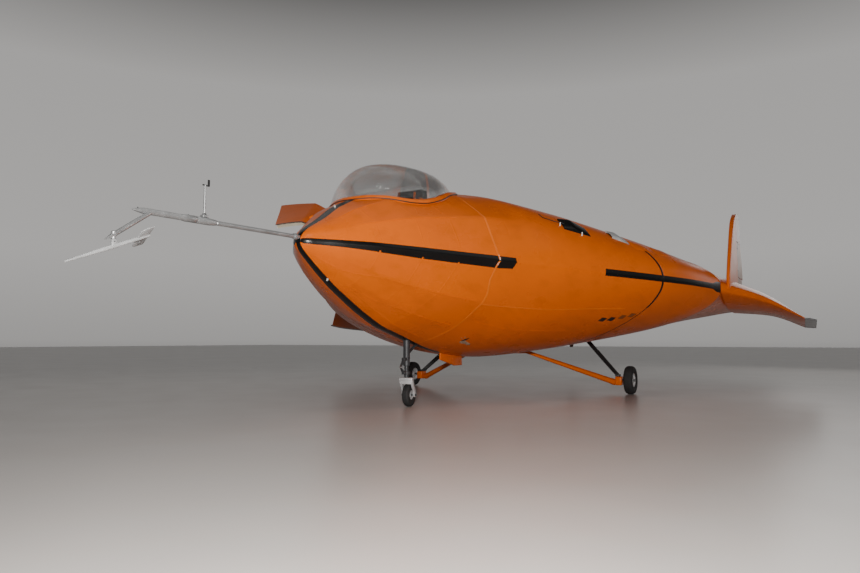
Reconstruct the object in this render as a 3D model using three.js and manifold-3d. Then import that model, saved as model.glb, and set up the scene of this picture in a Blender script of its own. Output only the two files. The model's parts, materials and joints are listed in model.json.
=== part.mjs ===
// Lifting body aircraft: a fat deltoid hull with drooped tip panels, two fins, a pusher propeller,
// a clear bubble over the cockpit, a long nose boom and a fixed tricycle undercarriage.
// Millimetres, +Z up, the nose towards -Y, port towards +X, the floor at Z = 0.
// A station is a distance aft of the nose tip; MID_STATION is the station that lies at Y = 0.

import * as THREE from 'three';
import { mergeVertices } from 'three/addons/utils/BufferGeometryUtils.js';
import Module from 'manifold-3d';

const wasm = await Module();
wasm.setup();
const { Manifold, Mesh } = wasm;

// Driving dimensions
const GAP = 0.3;
const PIN_GAP = 0.5;
const MOVE_GAP = 8;
const MID_STATION = 2509;

// Hull sections: station, half width, centre height, depth below it, rise above it,
// half thickness left at the side edge, fullness of the belly (2 is an ellipse, less is a flat vee)
const HULL = [
  [90, 125, 1417, 115, 124, 3, 1.5],
  [250, 275, 1410, 217, 222, 3, 1.5],
  [450, 450, 1400, 331, 370, 3, 1.5],
  [800, 685, 1380, 489, 555, 3, 1.48],
  [1100, 880, 1365, 598, 650, 3, 1.47],
  [1450, 1115, 1347, 670, 750, 3, 1.46],
  [1750, 1300, 1332, 728, 795, 3, 1.46],
  [2100, 1550, 1315, 778, 850, 3, 1.53],
  [2500, 1830, 1295, 810, 840, 3, 1.61],
  [2950, 2140, 1270, 812, 785, 3, 1.67],
  [3400, 2390, 1250, 765, 715, 4, 1.75],
  [3900, 2610, 1225, 640, 620, 40, 2],
  [4250, 2610, 1215, 570, 570, 115, 2],
  [4650, 2610, 1200, 490, 510, 150, 2],
  [5200, 2610, 1170, 385, 415, 138, 2],
  [5800, 2610, 1135, 260, 275, 95, 2],
  [6200, 2610, 1110, 160, 165, 60, 2],
  [6600, 2610, 1085, 28, 28, 14, 2],
];
const NOSE = { height: 1420, seam: 1450, corner: 3900, tail: 6600 };
const TAIL_LINE = HULL.at(-1)[2];
const HULL_ARC_STEPS = 18;
const WHEEL_STEPS = 28;

// Cockpit
const COCKPIT = { inset: -62, floor: 1060, shelf: 1740 };
// Plan of the cockpit well below the shelf: station, half width
const WELL = [
  [570, 29], [650, 128], [820, 220], [1050, 294], [1350, 338], [1700, 353], [1950, 343], [2120, 278], [2190, 163],
];
// Rim of the bubble in plan, with its crown: station, half width, crown height
const BUBBLE = [
  [667, 70, 1914], [739, 216, 2067], [832, 356, 2173], [945, 470, 2244], [1100, 545, 2286], [1276, 568, 2306],
  [1460, 540, 2322], [1660, 482, 2330], [1843, 409, 2328], [2008, 319, 2308], [2132, 213, 2270], [2241, 70, 2196],
];
const BUBBLE_THICK = 7;
const BUBBLE_SINK = 130;
const LIP = { out: 22, in: -22, high: 22 };
const HATCH = {
  front: 640, rear: 1425, frontX: -440, rearX: -688, edge: 22, sill: 17, lowZ: 1420, axisRise: 10,
  skin: 14, thick: 60, frameBack: 44, open: 66, barrel: 9, inner: 120, barrelLength: 60, lugLength: 24, lugs: [780, 1285], gap: 7,
  outerX: -1400, roofLow: 1640, roofHigh: 1700, topZ: 2300,
};
const SEAT = {
  front: 1150, back: 1590, halfWidth: 185, padHigh: 1170, padThick: 80, lean: 3,
  backHigh: 1840, backThick: 60, headHigh: 2160, headHalf: 145, headThick: 110,
};
const PANEL = { station: 880, halfWidth: 200, low: 1430, high: 1720, thick: 30 };
const STICK = { station: 1010, radius: 12, top: 1480, grip: 19 };

// Nose boom and air data
const BOOM = {
  tip: -1440, tipZ: 1418, rearRadius: 16, sleeveRear: -835, sleeveRadius: 24, frontRadius: 20, root: 70, rootZ: 1452,
};
const MAST = { station: -905, radius: 9, high: 217 };
const ARM = { from: [0, -1310, 1422], to: [100, -1620, 1232], radius: 14 };
const HEAD = {
  drop: 23, reach: 284, tail: 240, radius: 13, seat: 27, vaneSpan: 92, vaneChord: 80, vaneRoll: 30,
};

// Undercarriage
const NOSE_GEAR = {
  station: 1600, wheelRadius: 113, tyreTube: 36, crown: 284, legTop: 655, legRadius: 33,
  slimRadius: 23, slimFrom: 420, forkHalf: 58, forkLeg: 22, axle: 9, hubRadius: 46, turn: 10, trail: 65,
};
const MAIN_GEAR = {
  x: 1540, station: 4230, wheelRadius: 168, tyreTube: 54, hubRadius: 82, axle: 14,
  knuckleX: 1405, knuckleStation: 4252, knuckleZ: 155, knuckle: [80, 136, 104],
  strutEnd: [1390, 4293, 116], strutRoot: [310, 3762, 532], strutWide: 84, strutThin: [36, 74], bracket: [60, 110], bracketZ: 486,
  shockEnd: [1382, 4270, 205], shockRoot: [850, 4522, 745], shockSpread: 110, shockRadius: 17,
};
// A plate on the belly's centre line: station and height from its front corner round to its rear top
const KEEL = {
  halfThick: 10,
  outline: [[2272, 520], [2272, 440], [2590, 368], [2765, 368], [2765, 520]],
};

// Tail surfaces
const TIP = {
  x: 3393, lead: 4700, trail: 6100, drop: 325, half: 26, rootHalf: 180, leadZ: 1225, trailZ: 1140,
  midX: 3000, midRise: 48, midHalf: 108, innerX: 2210, innerRise: 170, capX: 3515, capDrop: 14,
};
// Tip cap sections: share of its reach, inset at both ends of the chord, half thickness
const TIP_CAP = [[0, 0, 26], [0.4, 18, 26], [0.8, 90, 22], [1, 200, 10]];
const FIN = {
  x: 2680, thick: 46, lowZ: 1180, rudderLow: 1425, rudderHigh: 1860, hinge: 4960,
  rudderTrail: 5500, rudderTaper: 100, rudderEdge: 5, rudderTurn: 3, pin: 7, pinLong: 22, middle: 4850, bevel: 0.94,
};
// Fin outline: station and height, from the leading root round to the trailing root
const FIN_OUTLINE = [
  [3960, 1180], [3960, 1345], [4360, 1800], [4600, 2030], [4850, 2150], [5080, 2225], [5230, 2240],
  [5340, 2190], [5410, 2060], [5450, 1860], [5540, 1365], [5540, 1180],
];
const ELEVON = { inner: 640, outer: 2440, hinge: 6230, trail: 6598, pin: 8, pinLong: 22 };
const PROP = {
  z: 1330, blade: 800, face: 6742, hub: 74, hubLong: 78, shaft: 24,
};
const ENGINE = { front: 4800, rear: 5400, halfWidth: 260, low: 960, high: 1400 };
const COWL = { front: 4550, rear: 6640, halfWidth: 265 };
// Small scoops on the upper skin: name, plan points of mouth and tail, half width,
// heights at the mouth, at the crown and at the tail
const SCOOPS = [
  ['side_scoop', [1371, 2232], [1561, 2467], 62, [25, 48, 3], 'black'],
  ['edge_scoop', [1697, 2766], [1832, 2906], 66, [22, 34, 3], 'grey'],
];
const SCOOP_WALL = 5;
const SCOOP_CROWN = 0.4;
const SCOOP_HOLLOW = 0.8;
// Low blisters along the upper edge: plan point of the front, plan point of the rear, half width, height
const BLISTERS = [
  [[1880, 2890], [2010, 3090], 60, 16],
  [[2040, 3160], [2170, 3400], 60, 14],
];

const COLOURS = {
  orange: { color: 0xd95a10, roughness: 0.35, metalness: 0.0 },
  glass: { color: 0xdde6ea, roughness: 0.05, metalness: 0.0, transparent: true, opacity: 0.3 },
  black: { color: 0x151515, roughness: 0.5, metalness: 0.0 },
  rubber: { color: 0x1c1c1c, roughness: 0.85, metalness: 0.0 },
  silver: { color: 0x9a9da0, roughness: 0.35, metalness: 0.8 },
  grey: { color: 0xb9babc, roughness: 0.45, metalness: 0.4 },
  dark: { color: 0x3a3b3d, roughness: 0.6, metalness: 0.3 },
  wood: { color: 0x6b4021, roughness: 0.4, metalness: 0.0 },
  cloth: { color: 0x2c2d30, roughness: 0.9, metalness: 0.0 },
};

const group = new THREE.Group();

const at = (x, station, z) => new THREE.Vector3(x, station - MID_STATION, z);
const radians = THREE.MathUtils.degToRad;

// Solids from meshes and back

function solid(geometry) {
  let source = geometry.index ? geometry.toNonIndexed() : geometry.clone();
  source.deleteAttribute('normal');
  source.deleteAttribute('uv');
  source = mergeVertices(source, 1e-3);
  const made = new Mesh({
    numProp: 3,
    vertProperties: new Float32Array(source.attributes.position.array),
    triVerts: new Uint32Array(source.index.array),
  });
  return new Manifold(made);
}

function geometryOf(body) {
  const mesh = body.getMesh();
  const geometry = new THREE.BufferGeometry();
  const positions = new Float32Array(mesh.vertProperties);
  geometry.setAttribute('position', new THREE.BufferAttribute(positions, 3));
  geometry.setIndex(Array.from(mesh.triVerts));
  geometry.computeVertexNormals();
  return geometry;
}

function add(name, body, look) {
  const mesh = new THREE.Mesh(geometryOf(body), new THREE.MeshStandardMaterial(COLOURS[look]));
  mesh.name = name;
  group.add(mesh);
  return mesh;
}

const union = (...bodies) => bodies.reduce((sum, body) => sum.add(body));

// A closed skin through rings of points; a ring of one point is an apex
function loft(rings) {
  const points = [];
  const faces = [];
  const starts = rings.map((ring) => {
    const start = points.length / 3;
    ring.forEach((p) => points.push(p.x, p.y, p.z));
    return start;
  });
  for (let r = 0; r + 1 < rings.length; r += 1) {
    const near = rings[r].length;
    const far = rings[r + 1].length;
    const count = Math.max(near, far);
    for (let i = 0; i < count; i += 1) {
      const j = (i + 1) % count;
      const a = starts[r] + (near > 1 ? i : 0);
      const b = starts[r] + (near > 1 ? j : 0);
      const c = starts[r + 1] + (far > 1 ? j : 0);
      const d = starts[r + 1] + (far > 1 ? i : 0);
      if (a !== b) faces.push(a, b, c);
      if (c !== d) faces.push(a, c, d);
    }
  }
  const cap = (ring, start, flip) => {
    for (let i = 1; i + 1 < ring.length; i += 1) {
      if (flip) faces.push(start, start + i + 1, start + i);
      else faces.push(start, start + i, start + i + 1);
    }
  };
  cap(rings[0], starts[0], true);
  cap(rings.at(-1), starts.at(-1), false);
  const geometry = new THREE.BufferGeometry();
  geometry.setAttribute('position', new THREE.BufferAttribute(new Float32Array(points), 3));
  geometry.setIndex(faces);
  const body = solid(geometry);
  return body.volume() < 0 ? solid(flipped(geometry)) : body;
}

function flipped(geometry) {
  const index = Array.from(geometry.index.array);
  for (let i = 0; i < index.length; i += 3) {
    [index[i + 1], index[i + 2]] = [index[i + 2], index[i + 1]];
  }
  geometry.setIndex(index);
  return geometry;
}

function boxBetween(low, high) {
  const size = high.clone().sub(low);
  const geometry = new THREE.BoxGeometry(size.x, size.y, size.z);
  const middle = low.clone().add(high).multiplyScalar(0.5);
  geometry.translate(middle.x, middle.y, middle.z);
  return solid(geometry);
}

// A round bar between two points, with an end radius of its own at each
function bar(from, to, radius, endRadius = radius, sides = 16) {
  const along = to.clone().sub(from);
  const geometry = new THREE.CylinderGeometry(endRadius, radius, along.length(), sides);
  const upright = new THREE.Vector3(0, 1, 0);
  geometry.applyQuaternion(new THREE.Quaternion().setFromUnitVectors(upright, along.clone().normalize()));
  const middle = from.clone().add(to).multiplyScalar(0.5);
  geometry.translate(middle.x, middle.y, middle.z);
  return solid(geometry);
}

// A flat bar of streamlined section between two points: wide along the flow, its thickness given at both ends
function fairedBar(from, to, wide, [thin, endThin]) {
  const along = to.clone().sub(from);
  const length = along.length();
  const geometry = new THREE.CylinderGeometry(0.5, 0.5, length, 14);
  const points = geometry.attributes.position;
  for (let i = 0; i < points.count; i += 1) {
    const t = points.getY(i) / length + 0.5;
    points.setX(i, points.getX(i) * (thin + (endThin - thin) * t));
    points.setZ(i, points.getZ(i) * wide);
  }
  const axis = along.clone().normalize();
  const flow = new THREE.Vector3(0, 1, 0).addScaledVector(axis, -axis.y).normalize();
  const across = new THREE.Vector3().crossVectors(axis, flow);
  geometry.applyMatrix4(new THREE.Matrix4().makeBasis(across, axis, flow));
  const middle = from.clone().add(to).multiplyScalar(0.5);
  geometry.translate(middle.x, middle.y, middle.z);
  return solid(geometry);
}

// A turned body about an axis through a point; the profile is radius and distance along the axis
function turned(profile, centre, axis, steps = 40) {
  const points = profile.map(([radius, along]) => new THREE.Vector2(radius, along));
  const geometry = new THREE.LatheGeometry(points, steps);
  const turn = new THREE.Quaternion().setFromUnitVectors(new THREE.Vector3(0, 1, 0), axis);
  geometry.applyQuaternion(turn);
  geometry.translate(centre.x, centre.y, centre.z);
  const body = solid(geometry);
  if (body.volume() > 0) return body;
  points.reverse();
  const other = new THREE.LatheGeometry(points, steps);
  other.applyQuaternion(turn);
  other.translate(centre.x, centre.y, centre.z);
  return solid(other);
}

// Hull form

function hullAt(station) {
  const last = HULL.length - 1;
  let k = HULL.findIndex((row) => row[0] >= station);
  if (k < 0) k = last;
  if (k === 0) k = 1;
  const low = HULL[k - 1];
  const high = HULL[k];
  const t = (station - low[0]) / (high[0] - low[0]);
  const [wide, centre, below, above, edge, full] = [1, 2, 3, 4, 5, 6].map((c) => low[c] + (high[c] - low[c]) * t);
  return { wide, centre, below, above, edge, full };
}

function hullHeight(x, station, side) {
  const { wide, centre, below, above, edge, full } = hullAt(station);
  const half = side > 0 ? above : below;
  const power = side > 0 ? 2 : full;
  const c = Math.max(0, 1 - Math.abs(x / wide) ** power) ** (1 / power);
  return centre + side * Math.sqrt(edge ** 2 + (half ** 2 - edge ** 2) * c * c);
}

function hullRing(station, grow = 0) {
  const { wide, centre, below, above, edge, full } = hullAt(station);
  const ring = [];
  const arc = (side, half, power, from, to) => {
    for (let i = 0; i <= HULL_ARC_STEPS; i += 1) {
      const turn = from + ((to - from) * i) / HULL_ARC_STEPS;
      const c = Math.abs(Math.cos(turn)) ** (2 / power);
      const s = Math.sign(turn) * Math.abs(Math.sin(turn)) ** (2 / power);
      const half2 = (half + grow) ** 2;
      const edge2 = (edge + Math.max(grow, 1 - edge)) ** 2;
      const rise = side * Math.sqrt(edge2 + (half2 - edge2) * c * c);
      ring.push(at((wide + grow) * s, station, centre + rise));
    }
  };
  arc(1, above, 2, -Math.PI / 2, Math.PI / 2);
  arc(-1, below, full, Math.PI / 2, -Math.PI / 2);
  return ring;
}

// The hull between two stations, grown outwards by a given amount
function hullSolid(front, rear, grow = 0) {
  const between = HULL.map((row) => row[0]).filter((s) => s > front + 1 && s < rear - 1);
  const stations = [front, ...between, rear].filter((s) => s > 0);
  const rings = stations.map((s) => hullRing(s, grow));
  if (front <= 0) rings.unshift([at(0, -grow, NOSE.height)]);
  return loft(rings);
}

const hullGrown = hullSolid(0, NOSE.tail, GAP);

// A point on the axis of the nose boom, which slopes up towards the hull
function onBoom(station) {
  const t = (station - BOOM.tip) / (BOOM.root - BOOM.tip);
  return at(0, station, BOOM.tipZ + (BOOM.rootZ - BOOM.tipZ) * t);
}

// Cockpit openings

// An upright column on a plan of port side points
function column(port, low, high) {
  const plan = [...port, ...port.slice().reverse().map(([x, station]) => [-x, station])];
  return loft([low, high].map((z) => plan.map(([x, station]) => at(x, station, z))));
}

// An upright column on the plan of the bubble, grown outwards by a given amount
function planColumn(grow, low, high) {
  const first = BUBBLE[0];
  const last = BUBBLE.at(-1);
  const port = BUBBLE.map(([station, half]) => [Math.max(12, half + grow), station]);
  port[0] = [Math.max(12, first[1] + grow * 0.5), first[0] - grow * 0.8];
  port[port.length - 1] = [Math.max(30, last[1] + grow * 0.6), last[0] + grow * 0.8];
  return column(port, low, high);
}

// The cockpit is a narrow well below its shelf and follows the bubble above it
function cockpitColumn() {
  const well = column(WELL.map(([station, half]) => [half, station]), COCKPIT.floor, COCKPIT.shelf + 1);
  return well.add(planColumn(COCKPIT.inset, COCKPIT.shelf, 2600));
}

// The hinge line of the hatch runs outwards along the edge of the bubble
const hatchX = (station) => {
  const t = (station - HATCH.front) / (HATCH.rear - HATCH.front);
  return HATCH.frontX + (HATCH.rearX - HATCH.frontX) * t;
};
const hingePoint = (station) => {
  const x = hatchX(station);
  return at(x, station, hullHeight(x, station, 1) + HATCH.axisRise);
};
const hatchAxis = { from: hingePoint(HATCH.front), to: hingePoint(HATCH.rear) };
const hatchDirection = hatchAxis.to.clone().sub(hatchAxis.from).normalize();
const onHatchAxis = (station) => {
  const t = (station - HATCH.front) / (HATCH.rear - HATCH.front);
  return hatchAxis.from.clone().lerp(hatchAxis.to, t);
};

// A block between two stations; its outline is a function of the hinge line's X
function hatchBlock(outline, front, rear) {
  const ring = (station) => outline(hatchX(station)).map(([x, z]) => at(x, station, z));
  return loft([ring(front), ring(rear)]);
}

function hatchWay() {
  const low = HATCH.lowZ - HATCH.gap;
  const outline = (x) => [
    [HATCH.outerX, low], [-HATCH.inner, low], [-HATCH.inner, HATCH.roofLow],
    [x + HATCH.sill, HATCH.roofHigh], [x + HATCH.sill, HATCH.topZ], [HATCH.outerX, HATCH.topZ],
  ];
  return hatchBlock(outline, HATCH.front - HATCH.gap, HATCH.rear + HATCH.gap);
}

function hatchLugs(grow = 0) {
  const lugs = [];
  for (const station of HATCH.lugs) {
    for (const side of [-1, 1]) {
      const inner = station + side * (HATCH.barrelLength / 2 + PIN_GAP);
      const outer = inner + side * HATCH.lugLength;
      const near = onHatchAxis(inner);
      const far = onHatchAxis(outer);
      lugs.push(bar(near, far, HATCH.barrel + grow, HATCH.barrel + grow, 12));
      const foot = near.clone().lerp(far, 0.5);
      const low = foot.clone().add(new THREE.Vector3(-4 - grow, -HATCH.lugLength / 2 + 5 - grow, -30));
      const high = foot.clone().add(new THREE.Vector3(45 + grow, HATCH.lugLength / 2 - 5 + grow, grow));
      lugs.push(boxBetween(low, high));
    }
  }
  return union(...lugs);
}

function hullNose() {
  const cockpit = cockpitColumn();
  let body = hullSolid(0, NOSE.seam - GAP / 2).subtract(cockpit).subtract(hatchWay());
  body = body.add(hatchLugs().subtract(cockpit));
  const boomHole = bar(onBoom(-40), onBoom(BOOM.root + GAP), BOOM.rearRadius + GAP);
  add('hull_nose', body.subtract(boomHole), 'orange');
}

function hullMid() {
  const cockpit = cockpitColumn();
  const body = hullSolid(NOSE.seam + GAP / 2, NOSE.corner - GAP / 2).subtract(cockpit);
  const blisters = [1, -1].flatMap((side) => BLISTERS.map((row) => blister(side, row)));
  add('hull_mid', union(body, ...blisters), 'orange');
}

// Rear hull, elevons and engine bay

function elevonRadius(x) {
  return (hullHeight(x, ELEVON.hinge, 1) - hullHeight(x, ELEVON.hinge, -1)) / 2;
}

function elevonCentre(x) {
  return (hullHeight(x, ELEVON.hinge, 1) + hullHeight(x, ELEVON.hinge, -1)) / 2;
}

function hingeEnds(side) {
  const x0 = side * ELEVON.inner;
  const x1 = side * ELEVON.outer;
  return [at(x0, ELEVON.hinge, elevonCentre(x0)), at(x1, ELEVON.hinge, elevonCentre(x1))];
}

function elevonRing(x, grow) {
  const radius = elevonRadius(x) + grow;
  const z = elevonCentre(x);
  const ring = [];
  for (let i = 0; i <= 8; i += 1) {
    const turn = Math.PI / 2 + (i / 8) * Math.PI;
    ring.push(at(x, ELEVON.hinge + radius * Math.cos(turn), z + radius * Math.sin(turn)));
  }
  const trail = ELEVON.trail + (grow > 0 ? 200 : 0);
  const thin = grow > 0 ? radius : 9;
  ring.push(at(x, trail, TAIL_LINE - thin));
  ring.push(at(x, trail, TAIL_LINE + thin));
  return ring;
}

function elevonBody(side, grow, reach) {
  const inner = side * (ELEVON.inner - reach);
  const outer = side * (ELEVON.outer + reach);
  const steps = 5;
  const rings = [];
  for (let i = 0; i <= steps; i += 1) rings.push(elevonRing(inner + ((outer - inner) * i) / steps, grow));
  return loft(rings);
}

function pinBars(side, radius, long) {
  const [near, far] = hingeEnds(side);
  const along = far.clone().sub(near).normalize();
  return [
    bar(near.clone().addScaledVector(along, -long), near.clone().addScaledVector(along, 30), radius),
    bar(far.clone().addScaledVector(along, -30), far.clone().addScaledVector(along, long), radius),
  ];
}

function cowlShape(grow) {
  const rows = [
    [COWL.front, 20, 0], [COWL.front + 350, 170, 40], [5500, COWL.halfWidth, 75],
    [6200, 215, 165], [COWL.rear, 130, 130],
  ];
  const rings = rows.map(([station, half, high]) => {
    const top = hullHeight(0, Math.min(station, NOSE.tail), 1) + high;
    const low = station < 6300 ? PROP.z - 260 : PROP.z - half;
    const ring = [];
    for (let i = 0; i < 20; i += 1) {
      const turn = (i / 20) * Math.PI * 2;
      const z = (top + low) / 2 + ((top - low) / 2 + grow) * Math.sin(turn);
      ring.push(at((half + grow) * Math.cos(turn), station, z));
    }
    return ring;
  });
  return loft(rings);
}

function hullAft() {
  let body = hullSolid(NOSE.corner + GAP / 2, NOSE.tail);
  for (const side of [1, -1]) {
    body = body.subtract(elevonBody(side, MOVE_GAP, MOVE_GAP));
  }
  body = body.add(cowlShape(0));
  for (const side of [1, -1]) {
    pinBars(side, ELEVON.pin + PIN_GAP, ELEVON.pinLong + 2).forEach((hole) => {
      body = body.subtract(hole);
    });
  }
  const bay = boxBetween(
    at(-ENGINE.halfWidth - 20, ENGINE.front - 20, ENGINE.low - GAP),
    at(ENGINE.halfWidth + 20, ENGINE.rear + 20, ENGINE.high + 20),
  );
  const wayRadius = PROP.shaft + 30;
  const shaftWay = bar(at(0, ENGINE.rear, PROP.z), at(0, COWL.rear + 5, PROP.z), wayRadius, wayRadius, 24);
  body = body.subtract(bay).subtract(shaftWay);
  add('hull_aft', body, 'orange');
}

function elevons() {
  for (const [side, word] of SIDES) {
    const pins = pinBars(side, ELEVON.pin, ELEVON.pinLong);
    const body = union(elevonBody(side, 0, 0), ...pins);
    add(`elevon_${word}`, body, 'orange');
  }
}

function powerUnit() {
  const engine = boxBetween(
    at(-ENGINE.halfWidth, ENGINE.front, ENGINE.low),
    at(ENGINE.halfWidth, ENGINE.rear, ENGINE.high),
  );
  const shaftEnd = at(0, PROP.face + PROP.hubLong + 20, PROP.z);
  const shaft = bar(at(0, ENGINE.rear - 10, PROP.z), shaftEnd, PROP.shaft, PROP.shaft, 20);
  add('engine_block', engine.add(shaft), 'dark');
}

function propeller() {
  const axis = new THREE.Vector3(0, 1, 0);
  const centre = at(0, PROP.face, PROP.z);
  const hub = turned([
    [PROP.shaft + PIN_GAP, 0], [PROP.hub, 0], [PROP.hub, PROP.hubLong], [PROP.shaft + PIN_GAP, PROP.hubLong],
    [PROP.shaft + PIN_GAP, 0],
  ], centre, axis, 28);
  // Blade sections: radius, chord, thickness, pitch in degrees
  const sections = [
    [40, 78, 56, 62], [150, 104, 38, 48], [330, 126, 24, 33], [520, 122, 16, 24], [690, 98, 10, 18], [PROP.blade, 52, 6, 15],
  ];
  const blade = (flip) => loft(sections.map(([radius, chord, thick, pitch]) => {
    const ring = [];
    for (let i = 0; i < 12; i += 1) {
      const turn = (i / 12) * Math.PI * 2;
      const along = (chord / 2) * Math.cos(turn);
      const out = (thick / 2) * Math.sin(turn);
      const c = Math.cos(radians(pitch));
      const s = Math.sin(radians(pitch));
      const x = flip * (along * c - out * s);
      const y = along * s + out * c + PROP.hubLong / 2;
      ring.push(new THREE.Vector3(centre.x + x, centre.y + y, centre.z + flip * radius));
    }
    return ring;
  }));
  const boreRadius = PROP.shaft + PIN_GAP;
  const bore = bar(offset(centre, 0, -60, 0), offset(centre, 0, 200, 0), boreRadius, boreRadius, 28);
  add('propeller', union(hub, blade(1), blade(-1)).subtract(bore), 'wood');
  const spinnerBase = centre.clone().add(new THREE.Vector3(0, PROP.hubLong + GAP, 0));
  const spinner = turned([
    [0, 22], [PROP.shaft + 4, 22], [PROP.shaft + 4, 0], [PROP.hub, 0], [PROP.hub - 6, 26],
    [PROP.hub - 26, 52], [30, 72], [0, 80],
  ], spinnerBase, axis, 20);
  add('propeller_spinner', spinner, 'silver');
}

// Cockpit pieces

// The bubble as a full loft; its lower half is cut away by the hull
function bubbleLoft(shrink) {
  const rings = BUBBLE.map(([station, half, crown], row) => {
    const base = hullHeight(0, station, 1) - BUBBLE_SINK;
    const end = row === 0 ? shrink : row === BUBBLE.length - 1 ? -shrink : 0;
    const ring = [];
    for (let i = 0; i < 24; i += 1) {
      const turn = (i / 24) * Math.PI * 2;
      const c = Math.cos(turn);
      const s = Math.sin(turn);
      const wide = half + LIP.in - 1 - shrink;
      ring.push(at(wide * c, station + end, base + (crown - base - shrink) * s));
    }
    return ring;
  });
  return loft(rings);
}

function canopy() {
  const inLip = planColumn(LIP.in - GAP, 1500, 2600);
  const shell = bubbleLoft(0).subtract(bubbleLoft(BUBBLE_THICK)).intersect(inLip).subtract(hullGrown);
  add('canopy_bubble', shell, 'glass');
  const ring = planColumn(LIP.out, 1500, 2600).subtract(planColumn(LIP.in, 1400, 2700));
  const lip = ring.intersect(hullSolid(0, NOSE.tail, LIP.high)).subtract(hullGrown).subtract(hatchLugs(GAP))
    .intersect(boxBetween(at(-600, 200, 1550), at(600, 2400, 2600)));
  add('canopy_lip', lip, 'orange');
}

function hatch() {
  const outline = (x) => [
    [HATCH.outerX, HATCH.lowZ], [x - HATCH.edge, HATCH.lowZ],
    [x - HATCH.edge, HATCH.topZ], [HATCH.outerX, HATCH.topZ],
  ];
  const layer = (thick) => hullSolid(100, NOSE.seam, 0).subtract(hullSolid(101, NOSE.seam + 60, -thick));
  const skin = layer(HATCH.skin).intersect(hatchBlock(outline, HATCH.front, HATCH.rear));
  const frame = layer(HATCH.thick).intersect(hatchBlock(outline, HATCH.front + HATCH.frameBack, HATCH.rear));
  const door = skin.add(frame);
  const arms = HATCH.lugs.flatMap((station) => {
    const half = HATCH.barrelLength / 2;
    const near = onHatchAxis(station - half);
    const far = onHatchAxis(station + half);
    const foot = onHatchAxis(station);
    const low = foot.clone().add(new THREE.Vector3(-58, -half + 6, -42));
    const high = foot.clone().add(new THREE.Vector3(0, half - 6, 8));
    return [bar(near, far, HATCH.barrel, HATCH.barrel, 12), boxBetween(low, high)];
  });
  const closed = union(door, ...arms);
  const geometry = geometryOf(closed);
  const pivot = hatchAxis.from;
  geometry.translate(-pivot.x, -pivot.y, -pivot.z);
  const mesh = new THREE.Mesh(geometry, new THREE.MeshStandardMaterial(COLOURS.orange));
  mesh.position.copy(pivot);
  mesh.quaternion.setFromAxisAngle(hatchDirection, radians(HATCH.open));
  mesh.name = 'cockpit_hatch';
  group.add(mesh);
}

function cockpitFittings() {
  const floor = COCKPIT.floor + GAP;
  const padLow = SEAT.padHigh - SEAT.padThick;
  add('seat_base', boxBetween(
    at(-SEAT.halfWidth + 20, SEAT.front + 20, floor), at(SEAT.halfWidth - 20, SEAT.back - 40, padLow - GAP),
  ), 'grey');
  add('seat_cushion', boxBetween(
    at(-SEAT.halfWidth, SEAT.front, padLow), at(SEAT.halfWidth, SEAT.back - 30, SEAT.padHigh),
  ), 'cloth');
  const lean = Math.tan(radians(SEAT.lean));
  const slab = (half, low, high, thick) => {
    const shift = (z) => (z - floor) * lean;
    const row = (z) => [
      at(-half, SEAT.back + shift(z), z), at(half, SEAT.back + shift(z), z),
      at(half, SEAT.back + thick + shift(z), z), at(-half, SEAT.back + thick + shift(z), z),
    ];
    return loft([row(low), row(high)]);
  };
  add('seat_back', slab(SEAT.halfWidth - 10, floor, SEAT.backHigh, SEAT.backThick), 'black');
  add('headrest', slab(SEAT.headHalf, SEAT.backHigh + GAP, SEAT.headHigh, SEAT.headThick), 'black');
  const panel = boxBetween(
    at(-PANEL.halfWidth, PANEL.station, PANEL.low), at(PANEL.halfWidth, PANEL.station + PANEL.thick, PANEL.high),
  );
  const post = boxBetween(at(-60, PANEL.station + 2, floor), at(60, PANEL.station + 26, PANEL.low + 10));
  add('instrument_panel', panel.add(post), 'dark');
  const base = bar(at(0, STICK.station, floor), at(0, STICK.station, floor + 26), 34);
  const rod = bar(at(0, STICK.station, floor + 20), at(0, STICK.station + 20, STICK.top), STICK.radius);
  const grip = bar(at(0, STICK.station + 20, STICK.top - 10), at(0, STICK.station + 24, STICK.top + 110), STICK.grip, 15);
  add('control_stick', union(base, rod, grip), 'dark');
}

// Nose boom

const offset = (point, x, y, z) => point.clone().add(new THREE.Vector3(x, y, z));

function boom() {
  const along = onBoom(BOOM.root).sub(onBoom(BOOM.tip)).normalize();
  add('boom_tube', bar(onBoom(BOOM.sleeveRear + 20), onBoom(BOOM.root), BOOM.rearRadius), 'silver');
  const r = BOOM.sleeveRadius;
  const long = BOOM.sleeveRear - BOOM.tip;
  const socket = BOOM.rearRadius + GAP;
  const sleeve = turned([
    [0, 0], [6, 0], [14, 42], [BOOM.frontRadius, 90], [BOOM.frontRadius, 350], [r, 370], [r, long - 30],
    [socket + 2, long + 20], [socket, long + 20], [socket, long + 18], [0, long + 18],
  ], onBoom(BOOM.tip), along, 24);
  add('boom_sleeve', sleeve, 'silver');
}

// The mast on top of the boom, with its small weather vane
function vaneMast() {
  const foot = offset(onBoom(MAST.station), 0, -8, BOOM.sleeveRadius + GAP);
  const top = offset(foot, 0, 0, MAST.high);
  const saddle = boxBetween(offset(foot, -16, -22, 0.4), offset(foot, 16, 22, 16));
  const mast = bar(offset(foot, 0, 0, 8), top, MAST.radius, MAST.radius * 0.8, 12);
  const arm = boxBetween(offset(top, -4, -20, -6), offset(top, 4, 36, 2));
  const plate = boxBetween(offset(top, -3, 22, -2), offset(top, 3, 38, 40));
  add('vane_mast', union(saddle, mast, arm, plate), 'silver');
}

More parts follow.
